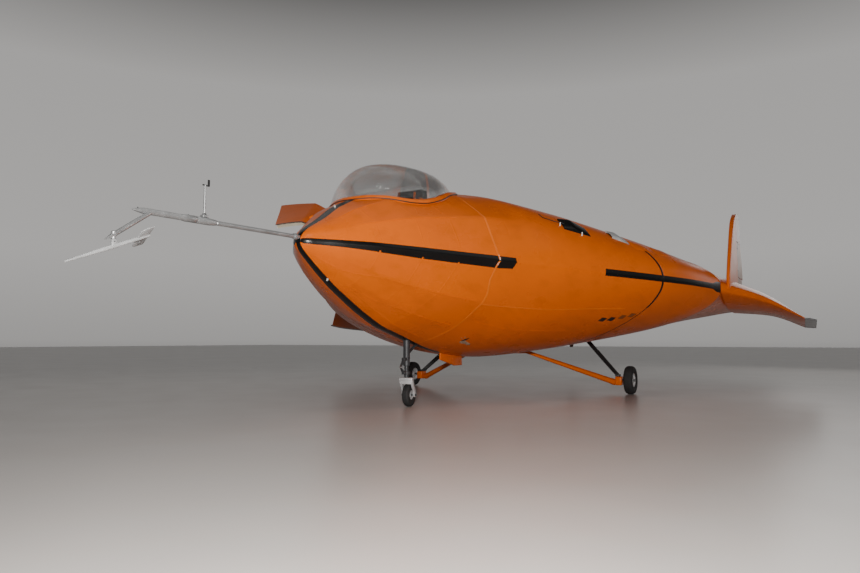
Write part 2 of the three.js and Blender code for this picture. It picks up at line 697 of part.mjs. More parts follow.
// The arm below the boom's tip and the swivelling air data head that it carries
function airData() {
  const boomClear = BOOM.frontRadius + GAP;
  const armRoot = at(...ARM.from);
  const armEnd = at(...ARM.to);
  const pinLow = 26;
  const clear = bar(onBoom(BOOM.tip - 40), onBoom(BOOM.sleeveRear), boomClear, boomClear, 24);
  const arm = union(
    bar(armRoot, armEnd, ARM.radius, ARM.radius, 14),
    bar(offset(armEnd, 0, 0, -pinLow), offset(armEnd, 0, 0, 20), 14, 14, 14),
    bar(armEnd, offset(armEnd, 18, -62, -36), ARM.radius, 3, 14),
  );
  add('boom_arm', arm.subtract(clear), 'silver');
  const pivot = offset(armEnd, 0, 0, -pinLow - GAP - HEAD.radius - HEAD.seat);
  const aim = new THREE.Vector3(-0.05, -1, -Math.tan(radians(HEAD.drop))).normalize();
  const onHead = (distance) => pivot.clone().addScaledVector(aim, distance);
  const seat = boxBetween(offset(pivot, -12, -12, 0), offset(pivot, 12, 12, HEAD.radius + HEAD.seat));
  add('air_data_head', union(
    bar(onHead(-HEAD.tail), pivot, HEAD.radius * 0.8, HEAD.radius, 14),
    bar(pivot, onHead(HEAD.reach), HEAD.radius, 4, 14),
    seat,
    headVane(onHead(-HEAD.tail + HEAD.vaneChord / 2 + 8), aim),
  ), 'grey');
}

// The plate across the back of the head, rolled about its rod
function headVane(centre, aim) {
  const roll = radians(HEAD.vaneRoll);
  const side = new THREE.Vector3(1, 0, 0).addScaledVector(aim, -aim.x).normalize();
  const rise = new THREE.Vector3().crossVectors(side, aim).normalize();
  const wide = side.multiplyScalar(Math.cos(roll)).addScaledVector(rise, Math.sin(roll)).normalize();
  if (wide.z < 0) wide.addScaledVector(rise, -2 * Math.sin(roll)).normalize();
  const thin = new THREE.Vector3().crossVectors(wide, aim).normalize();
  const geometry = new THREE.BoxGeometry(HEAD.vaneSpan * 2, 5, HEAD.vaneChord);
  geometry.applyMatrix4(new THREE.Matrix4().makeBasis(wide, thin, aim));
  geometry.translate(centre.x, centre.y, centre.z);
  const plate = solid(geometry);
  return plate.volume() > 0 ? plate : solid(flipped(geometry));
}

// Undercarriage

const SIDES = [[1, 'port'], [-1, 'starboard']];

function tyreBody(radius, tube, hubRadius, centre) {
  const wide = tube;
  return turned([
    [hubRadius + GAP, -wide * 0.75], [radius - tube * 0.55, -wide], [radius - tube * 0.12, -wide * 0.72],
    [radius, -wide * 0.38], [radius, wide * 0.38], [radius - tube * 0.12, wide * 0.72],
    [radius - tube * 0.55, wide], [hubRadius + GAP, wide * 0.75], [hubRadius + GAP, -wide * 0.75],
  ], centre, new THREE.Vector3(1, 0, 0), WHEEL_STEPS);
}

function hubBody(hubRadius, wide, bore, centre) {
  return turned([
    [bore + PIN_GAP, -wide * 0.7], [bore + 16, -wide * 0.7], [bore + 22, -wide * 0.3], [hubRadius - 16, -wide * 0.3],
    [hubRadius - 6, -wide * 0.75], [hubRadius, -wide * 0.75], [hubRadius, wide * 0.75], [hubRadius - 6, wide * 0.75],
    [hubRadius - 16, wide * 0.3], [bore + 22, wide * 0.3], [bore + 16, wide * 0.7], [bore + PIN_GAP, wide * 0.7],
    [bore + PIN_GAP, -wide * 0.7],
  ], centre, new THREE.Vector3(1, 0, 0), WHEEL_STEPS);
}

function noseGear() {
  const g = NOSE_GEAR;
  const axisFoot = at(0, g.station, g.crown + PIN_GAP);
  const leg = union(
    bar(at(0, g.station, g.slimFrom - 20), at(0, g.station, g.legTop + 60), g.legRadius, g.legRadius, 20),
    bar(axisFoot, at(0, g.station, g.slimFrom), g.slimRadius, g.slimRadius, 20),
    bar(at(0, g.station, g.crown + 30), at(0, g.station, g.crown + 62), g.legRadius + 4, g.legRadius + 4, 20),
    boxBetween(at(-20, g.station - 62, g.crown + 32), at(20, g.station, g.crown + 60)),
    boxBetween(at(-20, g.station - 62, g.slimFrom + 30), at(20, g.station, g.slimFrom + 58)),
    bar(at(0, g.station - 52, g.crown + 46), at(0, g.station - 108, g.slimFrom - 30), 11, 11, 10),
    bar(at(0, g.station - 108, g.slimFrom - 36), at(0, g.station - 52, g.slimFrom + 44), 11, 11, 10),
    bar(at(0, g.station + 10, g.slimFrom + 90), at(0, g.station + 330, g.legTop + 40), 15, 15, 12),
  ).subtract(hullGrown);
  add('nose_leg', leg, 'dark');
  const fork = new THREE.Group();
  fork.position.copy(at(0, g.station, 0));
  fork.rotation.z = radians(g.turn);
  group.add(fork);
  const put = (name, body, look) => {
    const mesh = add(name, body, look);
    fork.add(mesh);
  };
  const local = (x, y, z) => new THREE.Vector3(x, y, z);
  // Leg outline seen from the side: distance aft of the steering axis and height
  const legOutline = [
    [-24, g.crown - 26], [26, g.crown - 26], [g.trail + 22, g.wheelRadius + 6],
    [g.trail + 14, g.wheelRadius - 22], [g.trail - 14, g.wheelRadius - 22], [g.trail - 24, g.wheelRadius + 6],
  ];
  const legs = [1, -1].map((side) => {
    const ring = (x) => legOutline.map(([y, z]) => local(x, y, z));
    return loft([ring(side * (g.forkHalf - g.forkLeg / 2)), ring(side * (g.forkHalf + g.forkLeg / 2))]);
  });
  const crown = boxBetween(local(-g.forkHalf - 11, -28, g.crown - 30), local(g.forkHalf + 11, 30, g.crown));
  const axleEnd = (side) => local(side * (g.forkHalf + 20), g.trail, g.wheelRadius);
  const centre = local(0, g.trail, g.wheelRadius);
  put('nose_fork', union(crown, ...legs, bar(axleEnd(-1), axleEnd(1), g.axle, g.axle, 16)), 'grey');
  put('nose_hub', hubBody(g.hubRadius, g.tyreTube, g.axle, centre), 'grey');
  put('nose_tyre', tyreBody(g.wheelRadius, g.tyreTube, g.hubRadius, centre), 'rubber');
}

function mainGear() {
  const g = MAIN_GEAR;
  for (const [side, word] of SIDES) {
    const place = ([x, station, z]) => at(side * x, station, z);
    const hubCentre = place([g.x, g.station, g.wheelRadius]);
    const knuckle = place([g.knuckleX, g.knuckleStation, g.knuckleZ]);
    const half = new THREE.Vector3(...g.knuckle).multiplyScalar(0.5);
    const block = boxBetween(knuckle.clone().sub(half), knuckle.clone().add(half));
    const axle = bar(
      place([g.knuckleX, g.station, g.wheelRadius]), place([g.x + 62, g.station, g.wheelRadius]), g.axle, g.axle, 18,
    );
    add(`axle_${word}`, block.add(axle), 'dark');
    const grown = half.clone().addScalar(GAP);
    const blockGrown = boxBetween(knuckle.clone().sub(grown), knuckle.clone().add(grown));
    add(`main_strut_${word}`, mainStrut(place).subtract(hullGrown).subtract(blockGrown), 'orange');
    add(`shock_struts_${word}`, shockStruts(place).subtract(hullGrown).subtract(blockGrown), 'black');
    add(`main_hub_${word}`, hubBody(g.hubRadius, g.tyreTube, g.axle, hubCentre), 'grey');
    add(`main_tyre_${word}`, tyreBody(g.wheelRadius, g.tyreTube, g.hubRadius, hubCentre), 'rubber');
  }
}

// A faired strut from its bracket under the belly to the knuckle
function mainStrut(place) {
  const g = MAIN_GEAR;
  const [halfX, halfY] = g.bracket;
  const root = place(g.strutRoot);
  const low = offset(root, -halfX, -halfY, g.bracketZ - root.z);
  const high = offset(root, halfX, halfY, 120);
  return union(fairedBar(root, place(g.strutEnd), g.strutWide, g.strutThin), boxBetween(low, high));
}

// Two telescopic struts from a foot on the knuckle up to the belly
function shockStruts(place) {
  const g = MAIN_GEAR;
  const end = place(g.shockEnd);
  const tubes = [-1, 1].map((way) => {
    const top = offset(place(g.shockRoot), 0, (way * g.shockSpread) / 2, 60);
    return bar(offset(end, 0, way * 26, 0), top, g.shockRadius, g.shockRadius, 14);
  });
  const foot = boxBetween(offset(end, -24, -46, -4), offset(end, 24, 46, 26));
  return union(foot, ...tubes);
}

// Tip panels, fins and rudders

// Chord fraction and share of the greatest half thickness
const FOIL = [
  [0, 0.16], [0.04, 0.45], [0.13, 0.78], [0.28, 1], [0.5, 0.9], [0.72, 0.6], [0.88, 0.34], [1, 0.1],
];

function foilRing(x, lead, trail, zLead, zTrail, half, growth = 0) {
  const front = lead - growth;
  const chord = trail + growth - front;
  const edge = ([t, share], way) => {
    const z = zLead + (zTrail - zLead) * t;
    return at(x, front + chord * t, z + way * (half * share + growth));
  };
  const upper = FOIL.map((row) => edge(row, 1));
  const lower = FOIL.slice().reverse().map((row) => edge(row, -1));
  return [...upper, ...lower];
}

const tipRoot = (side, x, growth = 0) => foilRing(
  side * x, NOSE.corner, NOSE.tail, TIP.leadZ, TAIL_LINE, TIP.rootHalf, growth,
);

// The section halfway out, a little above the straight line from root to tip
function tipMiddle(side, growth = 0) {
  const rootX = HULL.at(-1)[1];
  const t = (TIP.midX - rootX) / (TIP.x - rootX);
  const lead = NOSE.corner + (TIP.lead - NOSE.corner) * t;
  const trail = NOSE.tail + (TIP.trail - NOSE.tail) * t;
  const rise = TIP.midRise - TIP.drop * t;
  const tailEnd = TAIL_LINE + (TIP.trailZ - TAIL_LINE) * t;
  return foilRing(side * TIP.midX, lead, trail, TIP.leadZ + rise, tailEnd + rise, TIP.midHalf, growth);
}

const tipEnd = (side, x, growth = 0) => foilRing(
  side * x, TIP.lead, TIP.trail, TIP.leadZ - TIP.drop, TIP.trailZ - TIP.drop, TIP.half, growth,
);

function tipPanel(side, word) {
  const rootX = HULL.at(-1)[1] + GAP;
  add(`tip_panel_${word}`, loft([tipRoot(side, rootX), tipMiddle(side), tipEnd(side, TIP.x)]), 'orange');
}

function tipCap(side, word) {
  const reach = TIP.capX - TIP.x - GAP;
  const ring = ([share, inset, half]) => {
    const drop = TIP.drop + share * TIP.capDrop;
    const x = side * (TIP.x + GAP + reach * share);
    return foilRing(x, TIP.lead + inset, TIP.trail - inset, TIP.leadZ - drop, TIP.trailZ - drop, half);
  };
  add(`tip_cap_${word}`, loft(TIP_CAP.map(ring)), 'dark');
}

// The tip panel a little larger, carried inwards over the hull: what the foot of the fin stands on
function panelGrown(side) {
  const growth = 3 * GAP;
  const rootX = HULL.at(-1)[1] + GAP;
  const leadZ = TIP.leadZ + TIP.innerRise;
  const trailZ = TAIL_LINE + TIP.innerRise;
  const inner = foilRing(side * TIP.innerX, NOSE.corner - 20, NOSE.tail, leadZ, trailZ, TIP.rootHalf, growth);
  return loft([inner, tipRoot(side, rootX, growth), tipMiddle(side, growth), tipEnd(side, TIP.x, growth)]);
}

const rudderPins = [
  [FIN.rudderLow - FIN.pinLong, FIN.rudderLow + FIN.pinLong],
  [FIN.rudderHigh - FIN.pinLong, FIN.rudderHigh + FIN.pinLong],
];

function fin(side, word) {
  const x = side * FIN.x;
  const half = FIN.thick / 2;
  const plate = (place, share) => FIN_OUTLINE.map(
    ([station, z]) => at(place, FIN.middle + (station - FIN.middle) * share, z),
  );
  const notch = boxBetween(
    at(x - 200, FIN.hinge - half - MOVE_GAP, FIN.rudderLow - MOVE_GAP),
    at(x + 200, TIP.trail, FIN.rudderHigh + MOVE_GAP),
  );
  let body = loft([plate(x - half, FIN.bevel), plate(x, 1), plate(x + half, FIN.bevel)]);
  body = body.subtract(notch).subtract(panelGrown(side)).subtract(hullGrown);
  rudderPins.forEach(([low, high]) => {
    const radius = FIN.pin + PIN_GAP;
    body = body.subtract(bar(at(x, FIN.hinge, low - 2), at(x, FIN.hinge, high + 2), radius, radius, 14));
  });
  const largest = body.decompose().sort((a, b) => b.volume() - a.volume())[0];
  add(`fin_${word}`, largest, 'orange');
}

function rudder(side, word) {
  const half = (FIN.thick / 2) * 0.9;
  const ring = (z, trail) => {
    const points = [];
    for (let i = 0; i <= 8; i += 1) {
      const turn = Math.PI / 2 + (i / 8) * Math.PI;
      points.push(new THREE.Vector3(half * Math.sin(turn), half * Math.cos(turn), z));
    }
    const rear = trail - FIN.hinge;
    points.push(new THREE.Vector3(-FIN.rudderEdge, rear, z), new THREE.Vector3(FIN.rudderEdge, rear, z));
    return points;
  };
  const blade = loft([ring(FIN.rudderLow, FIN.rudderTrail), ring(FIN.rudderHigh, FIN.rudderTrail - FIN.rudderTaper)]);
  const pins = rudderPins.map(
    ([low, high]) => bar(new THREE.Vector3(0, 0, low), new THREE.Vector3(0, 0, high), FIN.pin, FIN.pin, 14),
  );
  const mesh = add(`rudder_${word}`, union(blade, ...pins), 'orange');
  mesh.position.copy(at(side * FIN.x, FIN.hinge, 0));
  mesh.rotation.z = radians(-FIN.rudderTurn);
}

function tailSurfaces() {
  for (const [side, word] of SIDES) {
    tipPanel(side, word);
    tipCap(side, word);
    fin(side, word);
    rudder(side, word);
  }
}

// Hull fittings

// A frame on the upper skin: a point along the line from front to rear, across it and above the skin
function skinFrame(side, front, rear) {
  const along = new THREE.Vector2(rear[0] - front[0], rear[1] - front[1]);
  const length = along.length();
  along.normalize();
  return (forward, across, up) => {
    const x = front[0] + along.x * forward + along.y * across;
    const station = front[1] + along.y * forward - along.x * across;
    return { length, point: at(side * x, station, hullHeight(x, station, 1) + up) };
  };
}

function blister(side, [front, rear, half, high]) {
  const frame = skinFrame(side, front, rear);
  const { length } = frame(0, 0, 0);
  const rings = [0, 0.25, 0.75, 1].map((share) => {
    const tall = high * (share === 0 || share === 1 ? 0.1 : 1);
    const ring = [];
    for (let i = 0; i <= 6; i += 1) {
      const turn = (i / 6) * Math.PI;
      ring.push(frame(length * share, -half * Math.cos(turn), tall * Math.sin(turn)).point);
    }
    ring.push(frame(length * share, half, -30).point, frame(length * share, -half, -30).point);
    return ring;
  });
  return loft(rings);
}

// A small scoop with its mouth open to the front
function scoop([name, front, rear, half, [mouth, crown, tail], look]) {
  const frame = skinFrame(1, front, rear);
  const { length } = frame(0, 0, 0);
  const rise = (share) => {
    if (share < SCOOP_CROWN) return mouth + ((crown - mouth) * Math.max(0, share)) / SCOOP_CROWN;
    return crown + ((tail - crown) * (share - SCOOP_CROWN)) / (1 - SCOOP_CROWN);
  };
  const shell = (wall, from, to) => loft([from, SCOOP_CROWN, to].map((share) => {
    const width = half - wall;
    const top = rise(share) - wall;
    return [[-width, -40], [-width, top], [width, top], [width, -40]]
      .map(([across, up]) => frame(length * share, across, up).point);
  }));
  const hollow = shell(SCOOP_WALL, -0.1, SCOOP_HOLLOW);
  add(name, shell(0, 0, 1).subtract(hullGrown).subtract(hollow), look);
}

function hullFittings() {
  SCOOPS.forEach(scoop);
  const plate = (x) => KEEL.outline.map(([station, z]) => at(x, station, z));
  add('belly_keel', loft([plate(-KEEL.halfThick), plate(KEEL.halfThick)]).subtract(hullGrown), 'orange');
}

hullNose();
hullMid();
hullAft();
canopy();
hatch();
cockpitFittings();
boom();
vaneMast();
airData();
noseGear();
mainGear();
tailSurfaces();
elevons();
powerUnit();
propeller();
hullFittings();

export default group;
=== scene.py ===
import json
import math

import bmesh
import bpy
import numpy as np
from mathutils import Matrix, Quaternion, Vector

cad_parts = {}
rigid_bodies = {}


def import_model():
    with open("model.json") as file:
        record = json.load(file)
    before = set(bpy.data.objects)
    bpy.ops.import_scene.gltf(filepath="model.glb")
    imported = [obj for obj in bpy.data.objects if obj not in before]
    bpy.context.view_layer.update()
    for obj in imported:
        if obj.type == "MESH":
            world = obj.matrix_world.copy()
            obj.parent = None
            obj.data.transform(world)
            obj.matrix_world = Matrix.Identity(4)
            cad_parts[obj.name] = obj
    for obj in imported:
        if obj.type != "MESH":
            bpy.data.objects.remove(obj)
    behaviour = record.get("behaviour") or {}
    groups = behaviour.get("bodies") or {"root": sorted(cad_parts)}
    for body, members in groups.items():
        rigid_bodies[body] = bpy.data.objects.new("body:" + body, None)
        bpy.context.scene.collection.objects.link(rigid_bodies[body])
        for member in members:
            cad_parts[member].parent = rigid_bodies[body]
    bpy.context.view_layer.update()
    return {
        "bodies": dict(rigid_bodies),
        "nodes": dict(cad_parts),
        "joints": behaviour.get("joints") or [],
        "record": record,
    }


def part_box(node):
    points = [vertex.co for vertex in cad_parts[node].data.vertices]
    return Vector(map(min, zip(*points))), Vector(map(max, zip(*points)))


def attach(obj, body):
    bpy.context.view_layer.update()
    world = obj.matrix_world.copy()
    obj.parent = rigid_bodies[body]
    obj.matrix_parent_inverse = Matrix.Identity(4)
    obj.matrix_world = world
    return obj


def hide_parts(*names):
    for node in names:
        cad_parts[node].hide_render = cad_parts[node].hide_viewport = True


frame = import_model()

# Metres, +Z up, the nose towards -Y. A station is a distance aft of the nose tip.
MID_STATION = 2.509
SIDES = ((1, "port"), (-1, "starboard"))
nodes = frame["nodes"]


def at(x, station, z):
    return Vector((x, station - MID_STATION, z))


# Materials


class Nodes:
    """A small wrapper that adds nodes to one material and links them."""

    def __init__(self, name):
        self.material = bpy.data.materials.new(name)
        self.material.use_nodes = True
        self.tree = self.material.node_tree
        self.shader = self.tree.nodes["Principled BSDF"]

    def add(self, kind, **values):
        node = self.tree.nodes.new(kind)
        for key, value in values.items():
            if key in node.inputs:
                node.inputs[key].default_value = value
            else:
                setattr(node, key, value)
        return node

    def link(self, output, target):
        self.tree.links.new(output, target)

    def feed(self, output, name):
        """Links an output to an input of the shader."""
        self.link(output, self.shader.inputs[name])

    def value(self, name, number):
        self.shader.inputs[name].default_value = number

    def place(self):
        return self.add("ShaderNodeTexCoord").outputs["Object"]

    def stretched(self, scale):
        mapping = self.add("ShaderNodeMapping")
        mapping.inputs["Scale"].default_value = scale
        self.link(self.place(), mapping.inputs["Vector"])
        return mapping.outputs["Vector"]

    def noise(self, scale, detail=4.0, vector=None):
        node = self.add("ShaderNodeTexNoise", Scale=scale, Detail=detail)
        self.link(vector or self.place(), node.inputs["Vector"])
        return node.outputs["Fac"]

    def ramp(self, source, stops):
        node = self.add("ShaderNodeValToRGB")
        elements = node.color_ramp.elements
        while len(elements) < len(stops):
            elements.new(0.5)
        for element, (position, colour) in zip(elements, stops):
            element.position = position
            element.color = (*colour, 1.0)
        self.link(source, node.inputs["Fac"])
        return node.outputs["Color"]

    def spread(self, source, low, high):
        node = self.add("ShaderNodeMapRange")
        node.inputs["To Min"].default_value = low
        node.inputs["To Max"].default_value = high
        self.link(source, node.inputs["Value"])
        return node.outputs["Result"]

    def blended(self, factor, first, second):
        node = self.add("ShaderNodeMix", data_type="RGBA")
        for socket, value in ((node.inputs[0], factor), (node.inputs[6], first), (node.inputs[7], second)):
            if isinstance(value, tuple):
                socket.default_value = (*value, 1.0)
            else:
                self.link(value, socket)
        return node.outputs[2]

    def bump(self, source, strength, distance):
        node = self.add("ShaderNodeBump", Strength=strength, Distance=distance)
        self.link(source, node.inputs["Height"])
        self.link(node.outputs["Normal"], self.shader.inputs["Normal"])


def shade(colour, factor):
    return tuple(min(1.0, c * factor) for c in colour)


def finish_material(
    name, colour, rough, vary=0.12, scale=3.0, metal=0.0, coat=0.0, bump=0.0, bump_scale=60.0,
):
    """A painted or metal finish with uneven colour and gloss."""
    made = Nodes(name)
    tone = made.noise(scale)
    made.feed(made.ramp(tone, [(0.3, shade(colour, 1 - vary)), (0.7, shade(colour, 1 + vary))]), "Base Color")
    made.feed(made.spread(made.noise(scale * 4), rough * 0.8, rough * 1.25), "Roughness")
    made.value("Metallic", metal)
    made.value("Coat Weight", coat)
    made.value("Coat Roughness", 0.12)
    if bump:
        made.bump(made.noise(bump_scale, 2.0), 0.35, bump)
    return made


ORANGE = (0.66, 0.118, 0.002)


def hull_paint():
    """Aged gloss paint over fabric: slightly blotched, with faint streaks along the hull."""
    made = finish_material("hull_orange", ORANGE, 0.28, vary=0.05, scale=0.9)
    streaks = made.noise(9.0, 6.0, made.stretched((1.0, 0.35, 1.0)))
    soot = made.ramp(streaks, [(0.50, (0.0, 0.0, 0.0)), (0.80, (0.4, 0.4, 0.4))])
    base = made.shader.inputs["Base Color"].links[0].from_socket
    worn = made.blended(soot, base, shade(ORANGE, 0.66))
    specks = made.ramp(made.noise(38.0, 3.0), [(0.70, (0.0, 0.0, 0.0)), (0.76, (0.35, 0.35, 0.35))])
    dusty = made.blended(specks, worn, (0.50, 0.14, 0.02))
    made.feed(dusty, "Base Color")
    made.value("Specular IOR Level", 0.2)
    made.bump(made.noise(2.2, 2.0), 0.25, 0.004)
    return made.material


def simple(name, colour, rough, **values):
    return finish_material(name, colour, rough, **values).material


def wood():
    made = Nodes("prop_wood")
    wave = made.add("ShaderNodeTexWave", Scale=26.0, Distortion=3.0, Detail=3.0)
    made.link(made.stretched((1.0, 3.0, 0.25)), wave.inputs["Vector"])
    made.feed(
        made.ramp(wave.outputs["Fac"], [(0.2, (0.12, 0.045, 0.016)), (0.75, (0.27, 0.115, 0.04))]),
        "Base Color",
    )
    made.value("Roughness", 0.3)
    made.value("Coat Weight", 0.5)
    return made.material


def cloth(name, colour, scale):
    made = Nodes(name)
    weave = made.add("ShaderNodeTexWave", Scale=scale, Distortion=0.6, Detail=1.0)
    made.link(made.place(), weave.inputs["Vector"])
    cross = made.add("ShaderNodeTexWave", Scale=scale, Distortion=0.6, Detail=1.0, bands_direction="Z")
    made.link(made.place(), cross.inputs["Vector"])
    mixed = made.add("ShaderNodeMath", operation="MULTIPLY")
    made.link(weave.outputs["Fac"], mixed.inputs[0])
    made.link(cross.outputs["Fac"], mixed.inputs[1])
    made.feed(
        made.ramp(mixed.outputs[0], [(0.1, shade(colour, 0.7)), (0.9, shade(colour, 1.3))]), "Base Color",
    )
    made.value("Roughness", 0.9)
    made.value("Sheen Weight", 0.3)
    made.bump(mixed.outputs[0], 0.4, 0.0008)
    return made.material


def glass():
    """Blown plastic, grey with age and a little crazed."""
    made = Nodes("canopy_clear")
    tint = made.ramp(made.noise(4.0, 4.0), [(0.3, (0.58, 0.60, 0.60)), (0.75, (0.72, 0.74, 0.73))])
    made.feed(tint, "Base Color")
    made.value("Transmission Weight", 1.0)
    made.value("IOR", 1.25)
    haze = made.ramp(made.noise(14.0, 5.0), [(0.4, (0.0, 0.0, 0.0)), (0.85, (0.02, 0.02, 0.02))])
    made.feed(haze, "Roughness")
    made.value("Alpha", 0.42)
    return made.material


def fin_wear_and_light():
    """Orange towards the front of the fin, pale and chipped towards its rear: faded paint, and painted light
    where it falls on the fin's port face.
    """
    made = finish_material("pale_fin_wear_and_painted_light", ORANGE, 0.4, vary=0.08, scale=2.0)
    base = made.shader.inputs["Base Color"].links[0].from_socket
    split = made.add("ShaderNodeSeparateXYZ")
    made.link(made.place(), split.inputs["Vector"])
    aft = made.add("ShaderNodeMapRange")
    aft.inputs["From Min"].default_value = 1.95
    aft.inputs["From Max"].default_value = 2.75
    made.link(split.outputs["Y"], aft.inputs["Value"])
    added = made.add("ShaderNodeMath", operation="ADD")
    made.link(aft.outputs["Result"], added.inputs[0])
    made.link(made.spread(made.noise(5.0, 6.0), -0.45, 0.45), added.inputs[1])
    fade = made.ramp(added.outputs[0], [(0.60, (0.0, 0.0, 0.0)), (0.72, (0.85, 0.85, 0.85))])
    made.feed(made.blended(fade, base, (0.34, 0.21, 0.13)), "Base Color")
    return made.material


PAINT = {
    "orange": hull_paint(),
    "black": simple("stripe_black", (0.003, 0.003, 0.003), 0.24, vary=0.3, coat=0.06),
    "dull_black": simple("shock_black", (0.012, 0.012, 0.013), 0.45, vary=0.25, scale=12.0),
    "rubber": simple(
        "tyre_rubber", (0.018, 0.018, 0.019), 0.8, vary=0.25, scale=14.0, bump=0.0008, bump_scale=220.0,
    ),
    "silver": simple("silver_tube", (0.45, 0.46, 0.47), 0.38, vary=0.14, scale=9.0, metal=0.75),
    "grey": simple("light_grey", (0.50, 0.51, 0.52), 0.42, vary=0.12, scale=10.0, metal=0.3),
    "dark": simple("dark_steel", (0.05, 0.052, 0.056), 0.5, vary=0.25, scale=12.0, metal=0.4),
    "wood": wood(),
    "cloth": cloth("seat_cloth", (0.05, 0.052, 0.058), 260.0),
    "vinyl": simple(
        "black_vinyl", (0.014, 0.014, 0.015), 0.5, vary=0.2, scale=8.0, bump=0.0006, bump_scale=320.0,
    ),
    "glass": glass(),
    "liner": simple("door_liner", (0.42, 0.38, 0.29), 0.7, vary=0.14, scale=6.0),
    "canvas": simple("torn_canvas", (0.30, 0.21, 0.14), 0.85, vary=0.15, scale=20.0),
    "seam": simple("seam_tape", (0.68, 0.142, 0.006), 0.38, vary=0.10, scale=5.0),
    # Dull brown that paints the faint shade in the fainter drain slots
    "crease": simple("painted_slot_shade", (0.22, 0.060, 0.012), 0.5, vary=0.15, scale=9.0),
    # Pale fin paint: faded paint and painted light on the port faces of the fins and rudders
    "pale": fin_wear_and_light(),
    "white": simple("white_fitting", (0.72, 0.71, 0.68), 0.4, vary=0.08, scale=20.0),
    "dial": simple("dial_face", (0.01, 0.01, 0.011), 0.15, vary=0.3, scale=60.0, coat=0.6),
}

# Meshes


def linked(name, data):
    """A new object in the scene for a mesh, curve, lamp or camera."""
    piece = bpy.data.objects.new(name, data)
    bpy.context.scene.collection.objects.link(piece)
    return piece


def evaluated(piece):
    """The mesh that a piece's modifiers make."""
    return bpy.data.meshes.new_from_object(piece.evaluated_get(bpy.context.evaluated_depsgraph_get()))


def mesh_piece(name, points, faces, paint, looks=None):
    """A new object; looks, where given, is one index of paint for each face."""
    mesh = bpy.data.meshes.new(name)
    mesh.from_pydata([tuple(p) for p in points], [], faces)
    piece = linked(name, mesh)
    for word in [paint] if isinstance(paint, str) else paint:
        mesh.materials.append(PAINT[word])
    if looks is not None:
        mesh.polygons.foreach_set("material_index", looks)
    form = bmesh.new()
    form.from_mesh(mesh)
    bmesh.ops.recalc_face_normals(form, faces=form.faces)
    form.to_mesh(mesh)
    form.free()
    return piece


def soften(piece, angle=32.0):
    """Smooth shading that keeps edges sharper than the angle."""
    form = bmesh.new()
    form.from_mesh(piece.data)
    limit = math.radians(angle)
    for face in form.faces:
        face.smooth = True
    for edge in form.edges:
        edge.smooth = len(edge.link_faces) == 2 and edge.calc_face_angle(math.pi) < limit
    form.to_mesh(piece.data)
    form.free()
    return piece


def circle(count):
    """Cosine and sine of equal turns."""
    turns = [2 * math.pi * i / count for i in range(count)]
    return [(math.cos(turn), math.sin(turn)) for turn in turns]


def loft_faces(rings, count, closed=True, caps=True, around=False):
    """Faces between rings of points; around joins the last ring to the first."""
    faces = []
    last = count if closed else count - 1
    for r in range(rings if around else rings - 1):
        here, there = r * count, (r + 1) % rings * count
        for i in range(last):
            j = (i + 1) % count
            faces.append((here + i, here + j, there + j, there + i))
    if caps:
        faces.append(tuple(range(count - 1, -1, -1)))
        faces.append(tuple((rings - 1) * count + i for i in range(count)))
    return faces


def ring_piece(name, rings, paint, looks=None, **shape):
    """A skin through rings of points, still unsmoothed; the shape says how loft_faces closes it."""
    points = [p for ring in rings for p in ring]
    return mesh_piece(name, points, loft_faces(len(rings), len(rings[0]), **shape), paint, looks)


def loft_piece(name, rings, paint, angle=32.0):
    return soften(ring_piece(name, rings, paint), angle)


def turned_piece(name, profile, centre, axis, paint, steps=64, angle=32.0):
    """A closed turned body.

    The profile is radius and distance along the axis, and ends on the axis or where it began.
    """
    direction = Vector(axis).normalized()
    side = direction.orthogonal().normalized()
    other = direction.cross(side)
    rings = []
    for c, s in circle(steps):
        out = side * c + other * s
        rings.append([Vector(centre) + out * radius + direction * along for radius, along in profile])
    piece = ring_piece(name, rings, paint, closed=False, caps=False, around=True)
    form = bmesh.new()
    form.from_mesh(piece.data)
    bmesh.ops.remove_doubles(form, verts=form.verts, dist=1e-6)
    bmesh.ops.recalc_face_normals(form, faces=form.faces)
    form.to_mesh(piece.data)
    form.free()
    return soften(piece, angle)


def cuboid(name, low, high, paint, bevel=0.002):
    """A block with rounded edges."""
    low, high = Vector(low), Vector(high)
    size, middle = high - low, (low + high) / 2
    form = bmesh.new()
    bmesh.ops.create_cube(form, size=1.0)
    for vertex in form.verts:
        vertex.co = middle + Vector(a * b for a, b in zip(vertex.co, size))
    bmesh.ops.bevel(form, geom=form.edges[:], offset=bevel, segments=3, profile=0.5, affect="EDGES")
    mesh = bpy.data.meshes.new(name)
    form.to_mesh(mesh)
    form.free()
    mesh.materials.append(PAINT[paint])
    piece = linked(name, mesh)
    return soften(piece, 40)


def bevelled(piece, width, segments=2, angle=35.0):
    """Rounds the sharp edges of a finished piece."""
    modifier = piece.modifiers.new("round", "BEVEL")
    modifier.width = width
    modifier.segments = segments
    modifier.limit_method = "ANGLE"
    modifier.angle_limit = math.radians(angle)
    bpy.context.view_layer.update()
    mesh = evaluated(piece)
    piece.modifiers.clear()
    piece.data = mesh
    return soften(piece, 40)


def turn_about(piece, pivot, axis, degrees):
    turn = Quaternion(Vector(axis), math.radians(degrees))
    pivot = Vector(pivot)
    for vertex in piece.data.vertices:
        vertex.co = pivot + turn @ (vertex.co - pivot)
    return piece


def rod(name, start, end, radius, paint, end_radius=None, steps=32, bevel=0.0):
    """A round bar with softened ends."""
    start, end = Vector(start), Vector(end)
    length = (end - start).length
    last = radius if end_radius is None else end_radius
    round_off = bevel or min(radius, last) * 0.25
    profile = [
        (0, 0), (radius - round_off, 0), (radius, round_off), (last, length - round_off),
        (last - round_off, length), (0, length),
    ]
    return turned_piece(name, profile, start, end - start, paint, steps)


